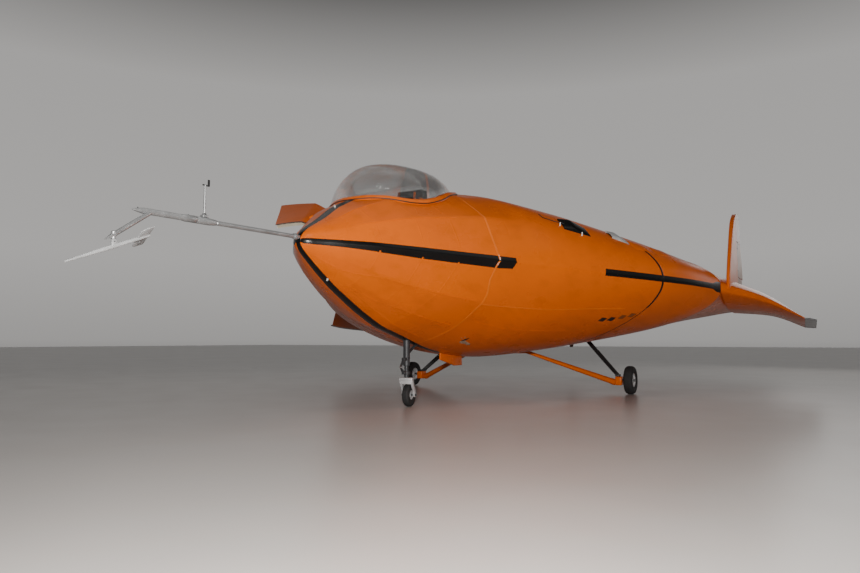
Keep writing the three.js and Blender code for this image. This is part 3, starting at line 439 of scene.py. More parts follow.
def block_at(name, centre, low, high, paint, bevel=0.002):
    """A block whose corners are given from a point."""
    return cuboid(name, centre + Vector(low), centre + Vector(high), paint, bevel)


def rod_at(name, centre, low, high, radius, paint, steps=32):
    """A rod whose ends are given from a point."""
    return rod(name, centre + Vector(low), centre + Vector(high), radius, paint, steps=steps)


def wire(name, points, radius, paint):
    """A thin round wire or hose through points."""
    curve = bpy.data.curves.new(name, "CURVE")
    curve.dimensions = "3D"
    curve.bevel_depth = radius
    curve.bevel_resolution = 4
    curve.use_fill_caps = True
    spline = curve.splines.new("POLY")
    spline.points.add(len(points) - 1)
    for point, place in zip(spline.points, points):
        point.co = (*place, 1.0)
    curve.materials.append(PAINT[paint])
    source = linked(name + "_curve", curve)
    bpy.context.view_layer.update()
    mesh = evaluated(source)
    mesh.name = name
    bpy.data.objects.remove(source)
    piece = linked(name, mesh)
    return soften(piece, 40.0)


def cut(piece, cutters):
    """Takes the cutters' shapes out of a piece with exact booleans and removes them."""
    for cutter in cutters:
        modifier = piece.modifiers.new("cut", "BOOLEAN")
        modifier.operation = "DIFFERENCE"
        modifier.solver = "EXACT"
        modifier.object = cutter
    bpy.context.view_layer.update()
    mesh = evaluated(piece)
    piece.modifiers.clear()
    piece.data = mesh
    for cutter in cutters:
        bpy.data.objects.remove(cutter)
    return soften(piece)


def join(name, parts):
    """One object from several, materials kept."""
    materials = []
    points, faces, looks = [], [], []
    for part in parts:
        base = len(points)
        points.extend(part.matrix_world @ v.co for v in part.data.vertices)
        for face in part.data.polygons:
            faces.append(tuple(base + i for i in face.vertices))
            material = part.data.materials[face.material_index]
            if material not in materials:
                materials.append(material)
            looks.append(materials.index(material))
    mesh = bpy.data.meshes.new(name)
    mesh.from_pydata(points, [], faces)
    for material in materials:
        mesh.materials.append(material)
    mesh.polygons.foreach_set("material_index", looks)
    piece = linked(name, mesh)
    for part in parts:
        bpy.data.objects.remove(part)
    return soften(piece)


def put(piece, body, slot, *replaced):
    """Lets a piece ride on a body and stand for CAD nodes."""
    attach(piece, body)
    if replaced:
        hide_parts(*replaced)
    return piece


# Hull form

# Station, half width, centre height, depth below it, rise above it, half thickness of the side edge,
# fullness of the belly (2 is an ellipse, less is a flat vee)
HULL = np.array([
    [0.090, 0.125, 1.417, 0.115, 0.124, 0.003, 1.50],
    [0.250, 0.275, 1.410, 0.217, 0.222, 0.003, 1.50],
    [0.450, 0.450, 1.400, 0.331, 0.370, 0.003, 1.50],
    [0.800, 0.685, 1.380, 0.489, 0.555, 0.003, 1.48],
    [1.100, 0.880, 1.365, 0.598, 0.650, 0.003, 1.47],
    [1.450, 1.115, 1.347, 0.670, 0.750, 0.003, 1.46],
    [1.750, 1.300, 1.332, 0.728, 0.795, 0.003, 1.46],
    [2.100, 1.550, 1.315, 0.778, 0.850, 0.003, 1.53],
    [2.500, 1.830, 1.295, 0.810, 0.840, 0.003, 1.61],
    [2.950, 2.140, 1.270, 0.812, 0.785, 0.003, 1.67],
    [3.400, 2.390, 1.250, 0.765, 0.715, 0.004, 1.75],
    [3.900, 2.610, 1.225, 0.640, 0.620, 0.040, 2.00],
    [4.250, 2.610, 1.215, 0.570, 0.570, 0.115, 2.00],
    [4.650, 2.610, 1.200, 0.490, 0.510, 0.150, 2.00],
    [5.200, 2.610, 1.170, 0.385, 0.415, 0.138, 2.00],
    [5.800, 2.610, 1.135, 0.260, 0.275, 0.095, 2.00],
    [6.200, 2.610, 1.110, 0.160, 0.165, 0.060, 2.00],
    [6.600, 2.610, 1.085, 0.028, 0.028, 0.014, 2.00],
])
NOSE_Z, FIRST, SEAM, CORNER, TAIL = 1.420, 0.090, 1.450, 3.900, 6.600
SHAFT_Z = 1.330
# Share of a smooth curve between the frames, over the straight run of the fabric: station, share
SMOOTHNESS = ([0.0, 0.45, 1.45, 1.9, 6.6], [0.5, 0.45, 0.45, 1.0, 1.0])


def monotone_slopes(xs, ys):
    steps = np.diff(xs)
    rise = np.diff(ys) / steps
    slopes = np.zeros(len(xs))
    slopes[0], slopes[-1] = rise[0], rise[-1]
    for k in range(1, len(xs) - 1):
        if rise[k - 1] * rise[k] > 0:
            a = 2 * steps[k] + steps[k - 1]
            b = steps[k] + 2 * steps[k - 1]
            slopes[k] = (a + b) / (a / rise[k - 1] + b / rise[k])
    return slopes


ROWS = HULL[:, 0]
CORNER_ROW = int(np.argmin(abs(ROWS - CORNER)))
SLOPES = [None] + [monotone_slopes(ROWS, HULL[:, c]) for c in range(1, 7)]
SLOPES[1][:CORNER_ROW + 1] = monotone_slopes(ROWS[:CORNER_ROW + 1], HULL[:CORNER_ROW + 1, 1])


def curve_value(t, step, y0, y1, m0, m1):
    """A cubic between two values with their slopes."""
    return (
        y0 * (1 + 2 * t) * (1 - t) ** 2 + y1 * t * t * (3 - 2 * t)
        + step * m0 * t * (1 - t) ** 2 + step * m1 * t * t * (t - 1)
    )


def smooth_rows(rows, steps):
    """Rows of numbers made finer along their first column."""
    table = np.array(rows, float)
    slopes = [monotone_slopes(table[:, 0], table[:, c]) for c in range(1, table.shape[1])]
    found = []
    for k in range(len(table) - 1):
        h = table[k + 1, 0] - table[k, 0]
        for i in range(steps):
            t = i / steps
            row = [table[k, 0] + h * t]
            for c in range(1, table.shape[1]):
                slope = slopes[c - 1]
                row.append(curve_value(t, h, table[k, c], table[k + 1, c], slope[k], slope[k + 1]))
            found.append(row)
    found.append(list(table[-1]))
    return found


def hull_value(station, column):
    k = int(np.clip(np.searchsorted(ROWS, station, side="left") - 1, 0, len(ROWS) - 2))
    x0, x1 = ROWS[k], ROWS[k + 1]
    y0, y1 = HULL[k, column], HULL[k + 1, column]
    m0, m1 = SLOPES[column][k], SLOPES[column][k + 1]
    if column == 1 and k >= CORNER_ROW:
        return y0
    t = (station - x0) / (x1 - x0)
    h = x1 - x0
    smooth = curve_value(t, h, y0, y1, m0, m1)
    straight = y0 + (y1 - y0) * t
    share = np.interp(station, *SMOOTHNESS)
    return straight + (smooth - straight) * share


def section(station):
    """Half width, centre height, depth, rise, edge and fullness of the hull at a station."""
    if station >= FIRST:
        return [hull_value(station, c) for c in range(1, 7)]
    size = math.sqrt(max(station, 0.0) / FIRST)
    wide, centre, below, above, edge, full = HULL[0, 1:]
    centre = NOSE_Z + (centre - NOSE_Z) * station / FIRST
    return [wide * size, centre, below * size, above * size, edge * size, full]


def rounded_height(half, edge, cosine):
    return math.sqrt(edge ** 2 + (half ** 2 - edge ** 2) * cosine ** 2)


def on_ring(values, turn, grow=0.0):
    """X and Z on a section.

    The turn is 0 at the top, a quarter turn at the port edge and half a turn at the bottom.
    """
    wide, centre, below, above, edge, full = values
    side = 1 if abs(turn) <= math.pi / 2 else -1
    half, power = (above + grow, 1.0) if side > 0 else (below + grow, 2 / full)
    rise = rounded_height(half, max(edge + grow, 1e-4), abs(math.cos(turn)) ** power)
    out = math.copysign(abs(math.sin(turn)) ** power, turn)
    return (wide + grow) * out, centre + side * rise


def hull_top(x, station, side=1, grow=0.0):
    """Height of the skin above or below a plan point."""
    wide, centre, below, above, edge, full = section(station)
    half, power = (above + grow, 2.0) if side > 0 else (below + grow, full)
    share = max(0.0, 1 - abs(x / (wide + grow)) ** power)
    return centre + side * rounded_height(half, max(edge + grow, 1e-4), share ** (1 / power))


# Stringers under the fabric of the nose, as turns in degrees
STRINGERS = [0, 28, 57, 90, 128, 148, 165, 180]
GORE_SHARE = 0.8
GORE_FADE = ([0.0, 0.16, 0.5, 1.45, 1.9], [0.0, 0.0, 1.0, 1.0, 0.0])


def skin_point(station, turn, grow=0.0):
    """A point of the hull's skin, drawn flatter between the stringers of the nose."""
    values = section(station)
    x, z = on_ring(values, turn, grow)
    share = GORE_SHARE * np.interp(station, *GORE_FADE)
    if share <= 0:
        return at(x, station, z)
    degrees = abs(math.degrees(turn))
    k = int(np.clip(np.searchsorted(STRINGERS, degrees, side="right") - 1, 0, len(STRINGERS) - 2))
    way = 1 if turn >= 0 else -1
    first = on_ring(values, way * math.radians(STRINGERS[k]), grow)
    second = on_ring(values, way * math.radians(STRINGERS[k + 1]), grow)
    across = (degrees - STRINGERS[k]) / (STRINGERS[k + 1] - STRINGERS[k])
    chord_x = first[0] + (second[0] - first[0]) * across
    chord_z = first[1] + (second[1] - first[1]) * across
    return at(x + (chord_x - x) * share, station, z + (chord_z - z) * share)


def skin_normal(station, turn):
    low = skin_point(station - 0.01, turn)
    high = skin_point(station + 0.01, turn)
    left = skin_point(station, turn - 0.01)
    right = skin_point(station, turn + 0.01)
    normal = (high - low).cross(right - left).normalized()
    middle = at(0, station, section(station)[1])
    return normal if normal.dot(skin_point(station, turn) - middle) > 0 else -normal


# Full width of the side stripe by station, and the half widths of the top and bottom stripes
SIDE_STRIPE = ([0.0, 0.05, 0.4, 0.8, 1.4, 2.4, 3.9], [0.040, 0.046, 0.062, 0.078, 0.085, 0.068, 0.062])
TOP_STRIPE = ([0.0, 0.05, 0.3, 0.62], [0.020, 0.030, 0.048, 0.056])
BOTTOM_STRIPE = ([0.0, 0.05, 0.3, 0.8, 2.3], [0.020, 0.028, 0.036, 0.040, 0.036])
# Where the side stripe is broken, where the others end, and the black tip
STRIPE_GAP = (1.565, 2.395)
TOP_STRIPE_END, BOTTOM_STRIPE_END = 0.655, 2.27
TIP_BLACK = 0.005
# Rings keep points on these stringers: turn in degrees, least share of the way from the top or bottom stripe
SHOULDER_TURNS = ((28, 0.25), (57, 0.5))
BELLY_TURNS = ((128, 0.7), (148, 0.4), (165, 0.15))
# Stations of the rounded nose tip
TIP_STATIONS = [0.0006, 0.002, TIP_BLACK, 0.008, 0.012, 0.02, 0.032, 0.05, 0.07]


def ring_turns(station):
    """Turns of the points round one section, some on the borders of the stripes, and a look for each gap."""
    wide, _, below, above, edge, full = section(station)
    half = np.interp(station, *SIDE_STRIPE) / 2
    top = math.asin(min(0.75, np.interp(station, *TOP_STRIPE) / wide))

    def border(depth, power):
        if depth <= half or half <= edge:
            return math.radians(4)
        share = math.sqrt((half ** 2 - edge ** 2) / (depth ** 2 - edge ** 2))
        return math.pi / 2 - math.acos(share ** power)

    upper = math.pi / 2 - min(border(above, 1.0), math.radians(30))
    lower = math.pi / 2 + min(border(below, full / 2), math.radians(30))
    bottom = math.pi - math.asin(min(0.75, (np.interp(station, *BOTTOM_STRIPE) / wide) ** (full / 2)))
    shoulder = [max(math.radians(turn), top + (upper - top) * share) for turn, share in SHOULDER_TURNS]
    belly = [min(math.radians(turn), bottom - (bottom - lower) * share) for turn, share in BELLY_TURNS]
    edge_turns = (math.pi / 2 - 1e-4, math.pi / 2 + 1e-4)
    knots = [0.0, top, *shoulder, upper, *edge_turns, lower, *belly, bottom, math.pi]
    steps = [2, 11, 12, 12, 3, 1, 3, 12, 10, 8, 5, 2]
    looks = ["top", "skin", "skin", "skin", "side", "side", "side", "skin", "skin", "skin", "skin", "bottom"]
    turns, kinds = [0.0], []
    for k, count in enumerate(steps):
        for i in range(1, count + 1):
            turns.append(knots[k] + (knots[k + 1] - knots[k]) * i / count)
            kinds.append(looks[k])
    port = turns
    starboard = [-t for t in reversed(turns[1:-1])]
    return port + starboard, kinds + list(reversed(kinds))


def stations_between(front, rear):
    fixed = [s for s in [*ROWS, *STRIPE_GAP, TOP_STRIPE_END, BOTTOM_STRIPE_END] if front < s < rear]
    places = sorted({front, rear, *fixed})
    found = [places[0]]
    for low, high in zip(places, places[1:]):
        step = 0.05 if low < 1.5 else 0.07
        count = max(1, round((high - low) / step))
        found.extend(low + (high - low) * i / count for i in range(1, count + 1))
    return found


def is_black(station, kind):
    if station < TIP_BLACK:
        return True
    if kind == "side":
        return station < STRIPE_GAP[0] or STRIPE_GAP[1] < station < CORNER
    if kind == "top":
        return station < TOP_STRIPE_END
    return kind == "bottom" and station < BOTTOM_STRIPE_END


def hull_piece(name, front, rear, grow=0.0):
    """The hull's skin between two stations as a closed body."""
    stations = stations_between(front, rear)
    if front <= 0:
        stations = TIP_STATIONS + [s for s in stations if s >= FIRST]
    rings, kinds = [], None
    for station in stations:
        turns, kinds = ring_turns(station)
        rings.append([skin_point(station, turn, grow) for turn in turns])
    looks = []
    for low, high in zip(stations, stations[1:]):
        looks.extend(1 if is_black((low + high) / 2, kind) else 0 for kind in kinds)
    looks.extend([1 if front <= 0 else 0, 0])
    return ring_piece(name, rings, ["orange", "black"], looks)


# Cockpit shapes

# The bubble: station, half width at its foot, height of its crown
BUBBLE = np.array([
    [0.667, 0.070, 1.914], [0.739, 0.216, 2.067], [0.832, 0.356, 2.173], [0.945, 0.470, 2.244],
    [1.100, 0.545, 2.286], [1.276, 0.568, 2.306], [1.460, 0.540, 2.322], [1.660, 0.482, 2.330],
    [1.843, 0.409, 2.328], [2.008, 0.319, 2.308], [2.132, 0.213, 2.270], [2.241, 0.070, 2.196],
])
# Plan of the cockpit well: station, half width
WELL = [
    (0.570, 0.029), (0.650, 0.128), (0.820, 0.220), (1.050, 0.294), (1.350, 0.338), (1.700, 0.353),
    (1.950, 0.343), (2.120, 0.278), (2.190, 0.163),
]
BUBBLE_SINK, BUBBLE_THICK = 0.130, 0.007
COCKPIT_INSET, COCKPIT_FLOOR, COCKPIT_SHELF = -0.062, 1.060, 1.740
LIP_OUT, LIP_IN = 0.022, -0.022
# The starboard hatch and its doorway in metres, open in degrees
HATCH = {
    "front": 0.640, "rear": 1.425, "front_x": -0.440, "rear_x": -0.688, "edge": 0.022, "sill": 0.017,
    "low": 1.420, "rise": 0.010, "open": 66.0, "inner": -0.120, "gap": 0.007,
    "outer": -1.400, "roof_low": 1.640, "roof_high": 1.700, "top": 2.300, "barrel": 0.009,
    "barrel_long": 0.060, "lug_long": 0.024, "lugs": (0.780, 1.285),
}


def plan_line(grow, steps):
    """The plan of the bubble's foot, port side from front to rear, grown outwards."""
    rows = [(station, half + grow) for station, half, _ in BUBBLE]
    rows[0] = (BUBBLE[0][0] - grow * 0.8, max(0.012, BUBBLE[0][1] + grow * 0.5))
    rows[-1] = (BUBBLE[-1][0] + grow * 0.8, max(0.030, BUBBLE[-1][1] + grow * 0.6))
    rows = [(s, max(0.012, x)) for s, x in rows]
    return [tuple(row) for row in smooth_rows(rows, steps)]


def both_sides(port):
    """A closed plan loop from the station and half width of its port side."""
    return [(x, s) for s, x in port] + [(-x, s) for s, x in reversed(port)]


def column(port, low, high):
    """An upright cutter on a plan of port side points."""
    return ring_piece("cutter", [[at(x, s, z) for x, s in both_sides(port)] for z in (low, high)], "dark")


def cockpit_columns():
    well = column(WELL, COCKPIT_FLOOR, COCKPIT_SHELF + 0.001)
    return [well, column(plan_line(COCKPIT_INSET, 4), COCKPIT_SHELF, 2.6)]


def hatch_x(station):
    t = (station - HATCH["front"]) / (HATCH["rear"] - HATCH["front"])
    return HATCH["front_x"] + (HATCH["rear_x"] - HATCH["front_x"]) * t


def straight_height(x, station):
    """The upper skin's height where it runs straight between its sections."""
    wide, centre, _, above, edge = [np.interp(station, ROWS, HULL[:, c]) for c in range(1, 6)]
    return centre + rounded_height(above, edge, math.sqrt(1 - (x / wide) ** 2))


def hinge_point(station):
    x = hatch_x(station)
    return at(x, station, straight_height(x, station) + HATCH["rise"])


HINGE = (hinge_point(HATCH["front"]), hinge_point(HATCH["rear"]))
HINGE_WAY = (HINGE[1] - HINGE[0]).normalized()


def on_hinge(station):
    t = (station - HATCH["front"]) / (HATCH["rear"] - HATCH["front"])
    return HINGE[0].lerp(HINGE[1], t)


def doorway_outline(station):
    """X and height of the doorway's corners at a station."""
    low, sill = HATCH["low"] - HATCH["gap"], hatch_x(station) + HATCH["sill"]
    return [
        (HATCH["outer"], low), (HATCH["inner"], low), (HATCH["inner"], HATCH["roof_low"]),
        (sill, HATCH["roof_high"]), (sill, HATCH["top"]), (HATCH["outer"], HATCH["top"]),
    ]


def doorway():
    """The cutter for the hatch's opening."""
    ends = (HATCH["front"] - HATCH["gap"], HATCH["rear"] + HATCH["gap"])
    return ring_piece("cutter", [[at(x, s, z) for x, z in doorway_outline(s)] for s in ends], "liner")


# Hull pieces


def elevon_ring(x, grow):
    hinge, trail = 6.230, 6.598
    upper = hull_top(x, hinge, 1)
    lower = hull_top(x, hinge, -1)
    radius, middle = (upper - lower) / 2 + grow, (upper + lower) / 2
    ring = []
    for i in range(9):
        turn = math.pi / 2 + math.pi * i / 8
        ring.append(at(x, hinge + radius * math.cos(turn), middle + radius * math.sin(turn)))
    ring.append(at(x, trail + 0.2, HULL[-1, 2] - radius))
    ring.append(at(x, trail + 0.2, HULL[-1, 2] + radius))
    return ring


def elevon_cutter(side):
    inner, outer, gap = 0.640, 2.440, 0.008
    xs = [side * (inner - gap), side * (outer + gap)]
    rings = [elevon_ring(xs[0] + (xs[1] - xs[0]) * i / 5, gap) for i in range(6)]
    return ring_piece("cutter", rings, "dark")


def cowl_ring(station, half, high, count=48):
    top = hull_top(0, min(station, TAIL), 1) + high
    low = SHAFT_Z - (0.260 if station < 6.3 else half)
    return [at(half * c, station, (top + low) / 2 + (top - low) / 2 * s) for c, s in circle(count)]


# Engine cowl: station, half width, height above the skin
COWL = [[4.55, 0.02, 0.0], [4.9, 0.17, 0.04], [5.5, 0.265, 0.075], [6.2, 0.215, 0.165], [6.64, 0.13, 0.13]]


def make_hull():
    nose = hull_piece("nose_shell", 0.0, SEAM)
    put(cut(nose, [*cockpit_columns(), doorway()]), "airframe", "orange", "hull_nose")
    mid = hull_piece("middle_shell", SEAM, CORNER)
    put(cut(mid, cockpit_columns()), "airframe", "orange", "hull_mid")
    aft = hull_piece("tail_shell", CORNER, TAIL)
    aft = cut(aft, [elevon_cutter(1), elevon_cutter(-1)])
    put(aft, "airframe", "orange", "hull_aft")
    rings = [cowl_ring(*row) for row in smooth_rows(COWL, 8)]
    cowl = loft_piece("engine_cowl", rings, "orange")
    shaft_way = rod("cutter", at(0, 6.0, SHAFT_Z), at(0, 6.7, SHAFT_Z), 0.054, "dark")
    put(cut(cowl, [shaft_way]), "airframe", "orange")


def make_canopy():
    def shell(name, shrink):
        rings = []
        for station, half, crown in smooth_rows(BUBBLE, 5):
            base = hull_top(0, station, 1) - BUBBLE_SINK
            wide = half + LIP_IN - 0.001 - shrink
            high = crown - base - shrink
            rings.append([at(wide * c, station, base + high * s) for c, s in circle(72)])
        way = Vector((0, shrink, 0))
        rings[0] = [p + way for p in rings[0]]
        rings[-1] = [p - way for p in rings[-1]]
        return loft_piece(name, rings, "glass", 50)

    bubble = cut(
        shell("canopy_glass", 0.0), [shell("cutter", BUBBLE_THICK), hull_piece("cutter", 0.0, 3.0, 0.0005)],
    )
    bubble.data.materials.clear()
    bubble.data.materials.append(PAINT["glass"])
    bubble.data.polygons.foreach_set("material_index", [0] * len(bubble.data.polygons))
    put(soften(bubble, 50), "airframe", "glass", "canopy_bubble")


# Section of the lip band: share of the way outwards, height above the skin
LIP_SECTION = [
    (0.0, -0.012), (0.0, 0.012), (0.08, 0.018), (0.25, 0.0215), (0.45, 0.0215), (0.70, 0.018),
    (0.90, 0.010), (1.0, 0.003), (1.0, -0.012),
]


# Seals: name, growth of the plan, rise above the skin, radius
SEALS = [("lip_seal", LIP_OUT + 0.003, 0.003, 0.005), ("glass_seal", LIP_IN + 0.001, 0.015, 0.003)]


def foot_loop(grow):
    """The bubble's foot as a closed loop of plan points."""
    return both_sides(plan_line(grow, 5))


def make_lip():
    inner, outer = foot_loop(LIP_IN), foot_loop(LIP_OUT)
    rings = []
    for (xi, si), (xo, so) in zip(inner, outer):
        ring = []
        for across, up in LIP_SECTION:
            x, s = xi + (xo - xi) * across, si + (so - si) * across
            ring.append(at(x, s, hull_top(x, s) + up))
        rings.append(ring)
    lip = soften(ring_piece("lip_band", rings, "orange", caps=False, around=True), 40)
    put(lip, "airframe", "orange", "canopy_lip")
    for name, grow, up, radius in SEALS:
        seal_points = [at(x, s, hull_top(x, s) + up) for x, s in foot_loop(grow)]
        seal_points.append(seal_points[0])
        put(wire(name, seal_points, radius, "dull_black"), "airframe", "dull_black")


# Hatch


def straight_turn(station, x):
    return math.asin(max(-1.0, min(1.0, x / section(station)[0])))


def low_turn(station, z):
    _, centre, _, above, edge, _ = section(station)
    share = max(0.0, (z - centre) ** 2 - edge ** 2) / (above ** 2 - edge ** 2)
    return -math.acos(math.sqrt(min(1.0, share)))


def opened(piece):
    return turn_about(piece, HINGE[0], HINGE_WAY, HATCH["open"])


def hatch_point(along, across, depth):
    """A point of the closed hatch by its shares from the front and from the hinge, and its depth."""
    station = HATCH["front"] + (HATCH["rear"] - HATCH["front"]) * along
    first = straight_turn(station, hatch_x(station) - HATCH["edge"])
    last = low_turn(station, HATCH["low"])
    turn = first + (last - first) * across
    return skin_point(station, turn) - skin_normal(station, turn) * depth


def hatch_grid(name, depths, paints, along=(0.0, 1.0), across=(0.0, 1.0), steps=(22, 18)):
    """A curved slab that follows the hatch, with its own paint outside, inside and round the rim."""
    rows, columns = steps
    depth_out, depth_in = depths
    shares = [
        [low + (high - low) * i / n for i in range(n + 1)]
        for (low, high), n in ((along, rows), (across, columns))
    ]
    points = [
        hatch_point(a, b, depth)
        for depth in (depth_out, depth_in)
        for a in shares[0]
        for b in shares[1]
    ]
    wide = columns + 1
    layer = wide * (rows + 1)
    faces, looks = [], []
    for base, look in ((0, 0), (layer, 1)):
        for r in range(rows):
            for c in range(columns):
                k = base + r * wide + c
                faces.append((k, k + 1, k + wide + 1, k + wide))
                looks.append(look)
    rim = list(range(wide)) + [r * wide + columns for r in range(1, rows + 1)]
    rim += [rows * wide + c for c in range(columns - 1, -1, -1)] + [r * wide for r in range(rows - 1, 0, -1)]
    for k, first in enumerate(rim):
        second = rim[(k + 1) % len(rim)]
        faces.append((first, second, second + layer, first + layer))
        looks.append(2)
    return mesh_piece(name, points, faces, paints, looks)


def hatch_rod(name, start, end, radius, paint, steps):
    return rod(name, hatch_point(*start), hatch_point(*end), radius, paint, steps=steps)


# Latch rods: both ends as shares along and across with their depth, radius
LATCH = [
    ((0.24, 0.90, 0.050), (0.36, 0.90, 0.050), 0.007), ((0.30, 0.86, 0.052), (0.30, 0.93, 0.052), 0.006),
    ((0.30, 0.93, 0.0), (0.30, 0.93, 0.056), 0.008),
]


def make_hatch():
    skin = soften(hatch_grid("skin", (0.0, 0.006), ["orange", "liner", "dark"]), 40)
    paints = ["liner"] * 3
    frame_rim = hatch_grid("rim", (0.0058, 0.050), paints, (0.062, 0.985), (0.015, 0.985))
    inner = hatch_grid("cutter", (-0.02, 0.08), paints, (0.115, 0.935), (0.075, 0.925))
    parts = [skin, cut(frame_rim, [inner])]
    for share in (0.34, 0.66):
        for end in (0.05, 0.95):
            parts.append(hatch_rod("rib", (share, end, 0.024), (share, 0.5, 0.030), 0.008, "liner", 16))
    for k in range(6):
        start, end = 0.05 + 0.15 * k, 0.20 + 0.15 * k
        parts.append(hatch_rod("rib", (start, 0.5, 0.026), (end, 0.5, 0.026), 0.007, "liner", 16))
    low, high = 0.012, 0.988
    outline = [(low, low), (low, high), (high, high), (high, low)]
    edge = []
    for (a0, b0), (a1, b1) in zip(outline, outline[1:] + outline[:1]):
        edge.extend(hatch_point(a0 + (a1 - a0) * i / 12, b0 + (b1 - b0) * i / 12, 0.004) for i in range(12))
    parts.append(wire("seal", edge + edge[:1], 0.0035, "dull_black"))
    parts.extend(hatch_rod("latch", start, end, radius, "dark", 20) for start, end, radius in LATCH)
    half, lug_half = HATCH["barrel_long"] / 2, HATCH["lug_long"] / 2 - 0.006
    for station in HATCH["lugs"]:
        near, far = on_hinge(station - half), on_hinge(station + half)
        parts.append(rod("barrel", near, far, HATCH["barrel"], "dark"))
        foot = on_hinge(station)
        parts.append(block_at(
            "arm", foot, (-0.056, -half + 0.008, -0.036), (-0.004, half - 0.008, 0.005), "orange",
        ))
    put(opened(join("hatch_door", parts)), "hatch", "orange", "cockpit_hatch")
    lugs = []
    for station in HATCH["lugs"]:
        for side in (-1, 1):
            inner_end = station + side * (half + 0.0006)
            outer_end = inner_end + side * HATCH["lug_long"]
            near, far = on_hinge(inner_end), on_hinge(outer_end)
            lugs.append(rod("lug", near, far, HATCH["barrel"], "dark"))
            foot = (near + far) / 2
            lugs.append(block_at(
                "lug", foot, (-0.003, -lug_half, -0.029), (0.044, lug_half, -0.001), "orange", 0.0015,
            ))
    put(join("hinge_lugs", lugs), "airframe", "dark")


# Seat


CLOTH_FRAMES = 18
WELL_FLOOR = 1.0603


def settle(piece, low, high):
    """A short cloth pass: the cover swells from inside and rests against its sewn edges."""
    group = piece.vertex_groups.new(name="sewn")
    middle, half = (low + high) / 2, (high - low) / 2
    for vertex in piece.data.vertices:
        near = max(abs(vertex.co[i] - middle[i]) / half[i] for i in range(2))
        low_side = (middle.z - vertex.co.z) / half.z
        group.add([vertex.index], 1.0 if near > 0.93 or low_side > 0.5 else 0.12, "REPLACE")
    cover = piece.modifiers.new("cover", "CLOTH")
    cover.settings.quality = 5
    cover.settings.mass = 0.25
    cover.settings.vertex_group_mass = "sewn"
    cover.settings.use_pressure = True
    cover.settings.uniform_pressure_force = 1.5
    cover.settings.effector_weights.gravity = 0.3
    cover.point_cache.frame_end = CLOTH_FRAMES
    scene = bpy.context.scene
    for number in range(1, CLOTH_FRAMES + 1):
        scene.frame_set(number)
    mesh = evaluated(piece)
    scene.frame_set(1)
    piece.modifiers.clear()
    for vertex in mesh.vertices:
        for i in range(3):
            vertex.co[i] = min(max(vertex.co[i], low[i]), high[i])
    piece.data = mesh
    soften(piece, 60)


def pad(name, low, high, paint, crown, pull=0.012):
    """A crowned cushion with sides that pull in between the corners."""
    low, high = Vector(low), Vector(high)
    size = high - low
    form = bmesh.new()
    bmesh.ops.create_cube(form, size=1.0)
    bmesh.ops.subdivide_edges(form, edges=form.edges, cuts=11, use_grid_fill=True)
    for vertex in form.verts:
        x, y, z = (vertex.co[i] * 2 for i in range(3))
        edge_x, edge_y = 1 - x * x, 1 - y * y
        lift = max(0.0, edge_x * edge_y) ** 0.5
        inset_x = pull * edge_y * (abs(x) ** 6)
        inset_y = pull * edge_x * (abs(y) ** 6)
        round_x = 1 - 0.05 * abs(z) ** 4 * abs(x) ** 8
        round_y = 1 - 0.05 * abs(z) ** 4 * abs(y) ** 8
        place = Vector((x * size.x / 2 * round_x, y * size.y / 2 * round_y, z * size.z / 2))
        place.x -= math.copysign(inset_x, x)
        place.y -= math.copysign(inset_y, y)
        if z > 0:
            place.z -= crown * (1 - lift) * z
        vertex.co = (low + high) / 2 + place
    mesh = bpy.data.meshes.new(name)
    form.to_mesh(mesh)
    form.free()
    mesh.materials.append(PAINT[paint])
    piece = linked(name, mesh)
    soften(piece, 60)
    settle(piece, low, high)
    return piece


def lean_back(piece, floor, degrees):
    """Shears a piece backwards with its height over a level, as the seat's back leans."""
    share = math.tan(math.radians(degrees))
    for vertex in piece.data.vertices:
        vertex.co.y += (vertex.co.z - floor) * share
    return piece


def make_seat():
    low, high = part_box("seat_cushion")
    put(pad("cushion_pad", low, high, "cloth", 0.022), "airframe", "cloth", "seat_cushion")
    floor, station, lean = WELL_FLOOR, 1.590, 3.0
    back = pad("back_pad", at(-0.175, station, floor), at(0.175, station + 0.060, 1.840), "vinyl", 0.0, 0.006)
    put(lean_back(back, floor, lean), "airframe", "vinyl", "seat_back")
    head = pad(
        "head_pad", at(-0.145, station, 1.8403), at(0.145, station + 0.110, 2.160), "vinyl", 0.012, 0.006,
    )
    put(lean_back(head, floor, lean), "airframe", "vinyl", "headrest")
    middle = 2.0
    front = station + (middle - floor) * math.tan(math.radians(lean))
    bar = cuboid("bar", at(0.052, front - 0.006, 1.862), at(0.074, front + 0.004, 2.128), "orange", 0.0015)
    bar.name = "headrest_bar"
    put(lean_back(bar, middle, lean), "airframe", "orange")


# The stick's grip: radius, distance along it
GRIP = [(0, -0.01), (0.016, -0.008), (0.0185, 0.02), (0.0155, 0.05), (0.018, 0.08), (0.014, 0.104), (0, 0.11)]


